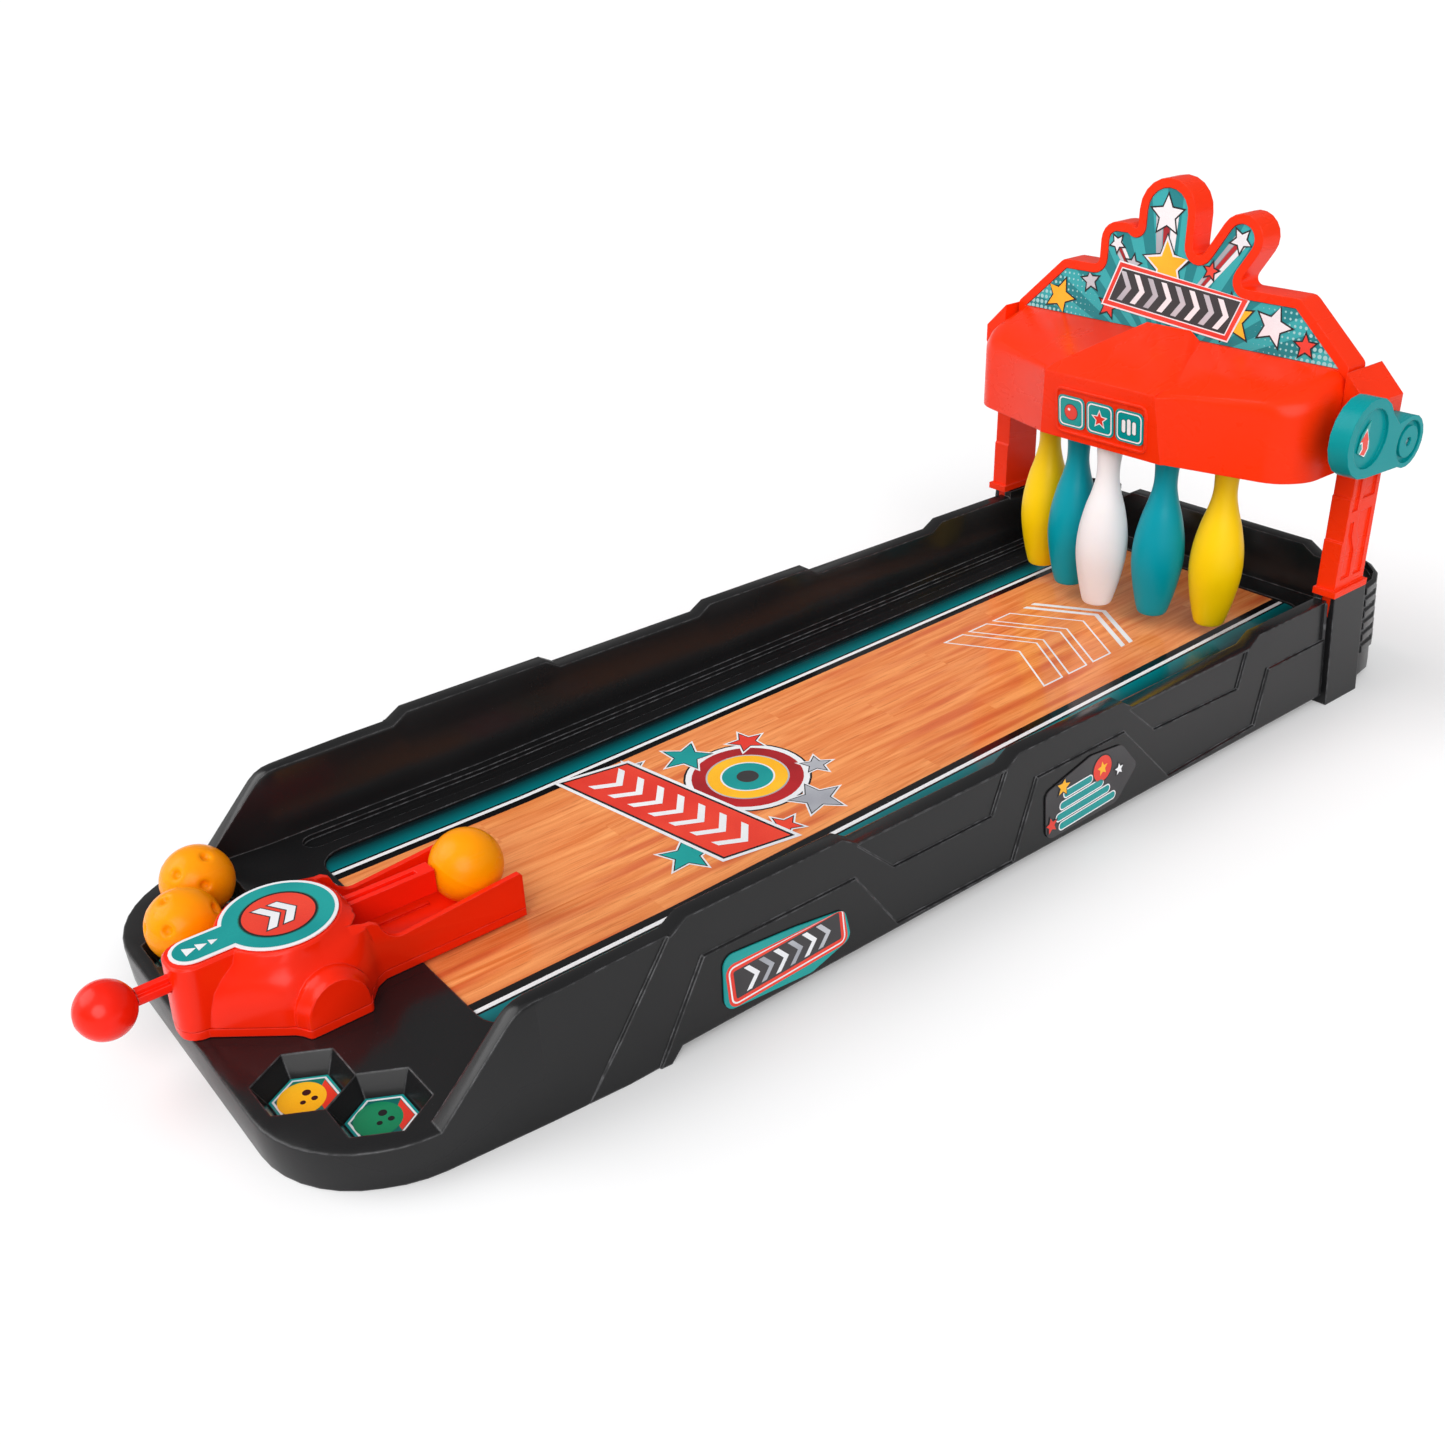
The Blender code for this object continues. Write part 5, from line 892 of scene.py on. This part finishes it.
def pocket_art():
    """A plain ball on a hexagon in each pocket; every measure is a share of the film's radius."""
    for place, shade in (("inner_right", INK_YELLOW), ("outer_right", INK_GREEN),
                         ("inner_left", INK_YELLOW), ("outer_left", INK_GREEN)):
        node = "pocket_decal_" + place
        low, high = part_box(node)
        x, y = (low.x + high.x) / 2 - MIDDLE_X, (low.y + high.y) / 2 - FRONT_Y
        radius = (high.x - low.x) / 2
        corner = [(x + radius * u, y + radius * v) for u, v in
                  ((-0.36, 0.72), (0.10, 0.25), (0.72, 0.20), (0.42, 0.72))]
        shapes = [
            (disc(x, y, radius * 0.92, steps=6), INK_WHITE, 1),
            (disc(x, y, radius * 0.85, steps=6), INK_DARK_TEAL, 2),
            (corner, INK_RED, 3),
            (disc(x - radius * 0.06, y - radius * 0.10, radius * 0.66), shade, 4),
        ]
        for dx, dy, size in ((-0.20, 0.10, 0.12), (0.14, 0.18, 0.09), (0.10, -0.14, 0.08)):
            shapes.append((disc(x + dx * radius, y + dy * radius, size * radius), INK_BLACK, 5))
        print_on(f"pocket_print_{place}", node, shapes, TOP, "base")


def badge_art():
    """Two wall badges: a row of chevrons on a framed plate, and a disc and stars over four stripes."""
    plate = soft_box(0.1965, 0.0205, 0.060, 0.0190, 0.0042, 2.0)
    shapes = [(plate, INK_RED, 1), (grown(plate, -0.0012), INK_WHITE, 2),
              (grown(plate, -0.0019), INK_RED, 3), (grown(plate, -0.0034), INK_DARK, 4)]
    for i in range(6):
        outline = arrow(0.1785 + i * 0.0072, 0.0200 + i * 0.00025, 0.0072, 0.0105, 0.0026, 2.0)
        shapes.append((outline, INK_GREY if i % 2 else INK_WHITE, 5))
    print_on("badge_front_print", "side_badge_front", shapes, RIGHT, "base")
    shapes = bordered(disc(0.3820, 0.0300, 0.0062), INK_RED, 2, 0.0007, INK_BLACK)
    shapes.append((star(0.3820, 0.0300, 0.0036, 95, 0.45), INK_YELLOW, 5))
    stripes = ((0.3720, 0.0130, 0.0380), (0.3690, 0.0178, 0.0360), (0.3680, 0.0226, 0.0290),
               (0.3655, 0.0274, 0.0190))
    for y, z, length in stripes:
        shapes += bordered(capsule(y, z, length, 0.0033, 3), INK_TEAL, 2, 0.0006, INK_WHITE)
    shapes += bordered(star(0.3555, 0.0310, 0.0044, 80), INK_YELLOW, 6, 0.0004, INK_DARK)
    shapes += bordered(star(0.3935, 0.0255, 0.0030, 95), INK_WHITE, 6, 0.0004, INK_DARK)
    shapes += bordered(star(0.3475, 0.0150, 0.0040, 100), INK_RED, 8, 0.0004, INK_DARK)
    print_on("badge_rear_print", "side_badge_rear", shapes, RIGHT, "base")


def icon_art():
    """The hood's three icons, a disc, a star and three bars; measures are shares of an icon's width."""
    for name in ("left", "middle", "right"):
        node = "hood_icon_" + name
        low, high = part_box(node)
        x, z = (low.x + high.x) / 2 - MIDDLE_X, (low.z + high.z) / 2
        size = high.x - low.x
        plates = ((0.90, 0.16, INK_WHITE, 1), (0.81, 0.13, INK_DARK_TEAL, 2), (0.78, 0.12, INK_TEAL, 3))
        shapes = [(soft_box(x, z, size * width, size * width, size * corner), shade, level)
                  for width, corner, shade, level in plates]
        if name == "left":
            shapes += [(disc(x, z, size * 0.26), INK_DARK, 4), (disc(x, z, size * 0.235), INK_RED, 5),
                       (disc(x - size * 0.07, z + size * 0.08, size * 0.05, 0.8), INK_WHITE, 6)]
        elif name == "middle":
            shapes += bordered(star(x, z, size * 0.24, 90), INK_RED, 4, size * 0.03, INK_WHITE)
        else:
            for dx, tall in ((-0.19, 0.40), (0, 0.50), (0.19, 0.40)):
                outline = capsule(x + size * dx, z, size * tall, size * 0.13, 90)
                shapes += bordered(outline, INK_WHITE, 4, size * 0.02, INK_DARK_TEAL)
        print_on(f"icon_print_{name}", node, shapes, FRONT, "base")


def lever_art():
    """A small curved arrow on the lever's label, in shares of its height."""
    low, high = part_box("lever_decal")
    y, z = (low.y + high.y) / 2 - FRONT_Y, (low.z + high.z) / 2
    size = high.z - low.z
    flick = ((-0.20, -0.43), (0.05, -0.42), (0.17, -0.26), (0.14, -0.02), (0.26, 0.02),
             (0.02, 0.26), (-0.26, 0.00), (-0.12, -0.02), (-0.06, -0.22))
    outline = [(y + size * u, z + size * v) for u, v in flick]
    shapes = [(grown(outline, size * 0.045), INK_WHITE, 1), (outline, INK_RED, 2)]
    print_on("lever_print", "lever_decal", shapes, RIGHT, "reset_lever")


# Scene


def dress():
    """Paints the CAD nodes, then adds the finer pieces and the prints."""
    paint(BLACK, "tray", "pin_rack", "reset_shaft")
    paint(ORANGE, "hood_shell", "header_board", "post_left", "post_right")
    paint(RED, "launcher_housing", "launcher_base_plate")
    paint(KNOB_RED, "plunger")
    paint(TEAL, "reset_lever")
    paint(STEEL, "launcher_swivel_screw", "plunger_spring", "lever_screw",
          *(name for name in nodes if name.startswith("pin_axle")))
    paint(LANE_FILM, "lane_decal")
    paint(BURST_FILM, "header_decal")
    paint(INK_TEAL, "side_badge_front", "lever_decal",
          *(name for name in nodes if name.startswith(("pocket_decal", "hood_icon"))))
    paint(INK_DARK, "side_badge_rear")
    paint(INK_WHITE, "launcher_decal")
    ball("ramp_ball_skin", "ramp_ball", "ramp_ball", ())
    ball("spare_ball_inner_skin", "spare_ball_inner", "spare_ball_inner", INNER_DIMPLES)
    ball("spare_ball_outer_skin", "spare_ball_outer", "spare_ball_outer", OUTER_DIMPLES)
    make_knob()
    make_pins()
    make_spring()
    lane_art()
    header_art()
    launcher_art()
    pocket_art()
    badge_art()
    icon_art()
    lever_art()


def make_floor():
    """A white floor that keeps the set's soft shadow."""
    mesh = bmesh.new()
    corners = ((-1, -1), (1, -1), (1, 1), (-1, 1))
    mesh.faces.new([mesh.verts.new((x * FLOOR_HALF, y * FLOOR_HALF, -FLOOR_DROP)) for x, y in corners])
    data = bpy.data.meshes.new("floor")
    mesh.to_mesh(data)
    mesh.free()
    shader = Shader("floor_white")
    shader.set(
        Base_Color=shader.tinted(FLOOR_COLOUR, shader.noise(FLOOR_MOTTLE_SCALE, 2), FLOOR_MOTTLE),
        Roughness=FLOOR_ROUGHNESS,
        Specular_IOR_Level=FLOOR_SHINE,
    )
    in_view = shader.node("LightPath").outputs["Is Camera Ray"]
    glowing = shader.calc("MULTIPLY", in_view, FLOOR_GLOW)
    glow = shader.node("Emission", Color=(1, 1, 1, 1), Strength=glowing)
    both = shader.node("AddShader")
    shader.put(both.inputs[0], shader.surface.outputs["BSDF"])
    shader.put(both.inputs[1], glow.outputs["Emission"])
    shader.put(shader.output.inputs["Surface"], both.outputs["Shader"])
    data.materials.append(shader.material)
    floor = bpy.data.objects.new("floor", data)
    bpy.context.scene.collection.objects.link(floor)


def make_light():
    """White surroundings with the room that gloss mirrors, a key lamp from the front left and a
    fill lamp from the front right.
    """
    world = bpy.data.worlds.new("studio")
    bpy.context.scene.world = world
    world.use_nodes = True
    sky = NodeTree(world.node_tree)
    rays = sky.node("LightPath").outputs
    way = sky.node("NewGeometry").outputs["Position"]
    room = ROOM_DARK
    for towards, low, high, strength in ROOM_PANELS:
        facing = sky.dot(way, Vector(towards).normalized())
        panel = sky.spread(facing, low, high, ROOM_DARK, strength, "SMOOTHSTEP")
        room = sky.calc("MAXIMUM", room, panel)
    light = sky.node("Mix", Factor=rays["Is Glossy Ray"], A=WORLD_LIGHT, B=room).outputs["Result"]
    background = sky.tree.nodes["Background"]
    sky.put(background.inputs["Color"], (1, 1, 1, 1))
    sky.put(background.inputs["Strength"], sky.calc("MAXIMUM", rays["Is Camera Ray"], light))
    for name, place, strength, width in LAMPS:
        lamp = bpy.data.lights.new(name, "SUN")
        lamp.energy = strength
        lamp.angle = math.radians(width)
        made = bpy.data.objects.new(name, lamp)
        made.rotation_euler = Vector(place).to_track_quat("Z", "Y").to_euler()
        bpy.context.scene.collection.objects.link(made)


def make_camera():
    data = bpy.data.cameras.new("camera")
    data.lens = CAMERA_LENS
    data.sensor_width = SENSOR_WIDTH
    camera = bpy.data.objects.new("camera", data)
    camera.location = CAMERA_PLACE
    camera.rotation_euler = [math.radians(angle) for angle in CAMERA_TURN]
    bpy.context.scene.collection.objects.link(camera)
    bpy.context.scene.camera = camera


bpy.context.scene.view_settings.view_transform = "Standard"
dress()
make_floor()
make_light()
make_camera()
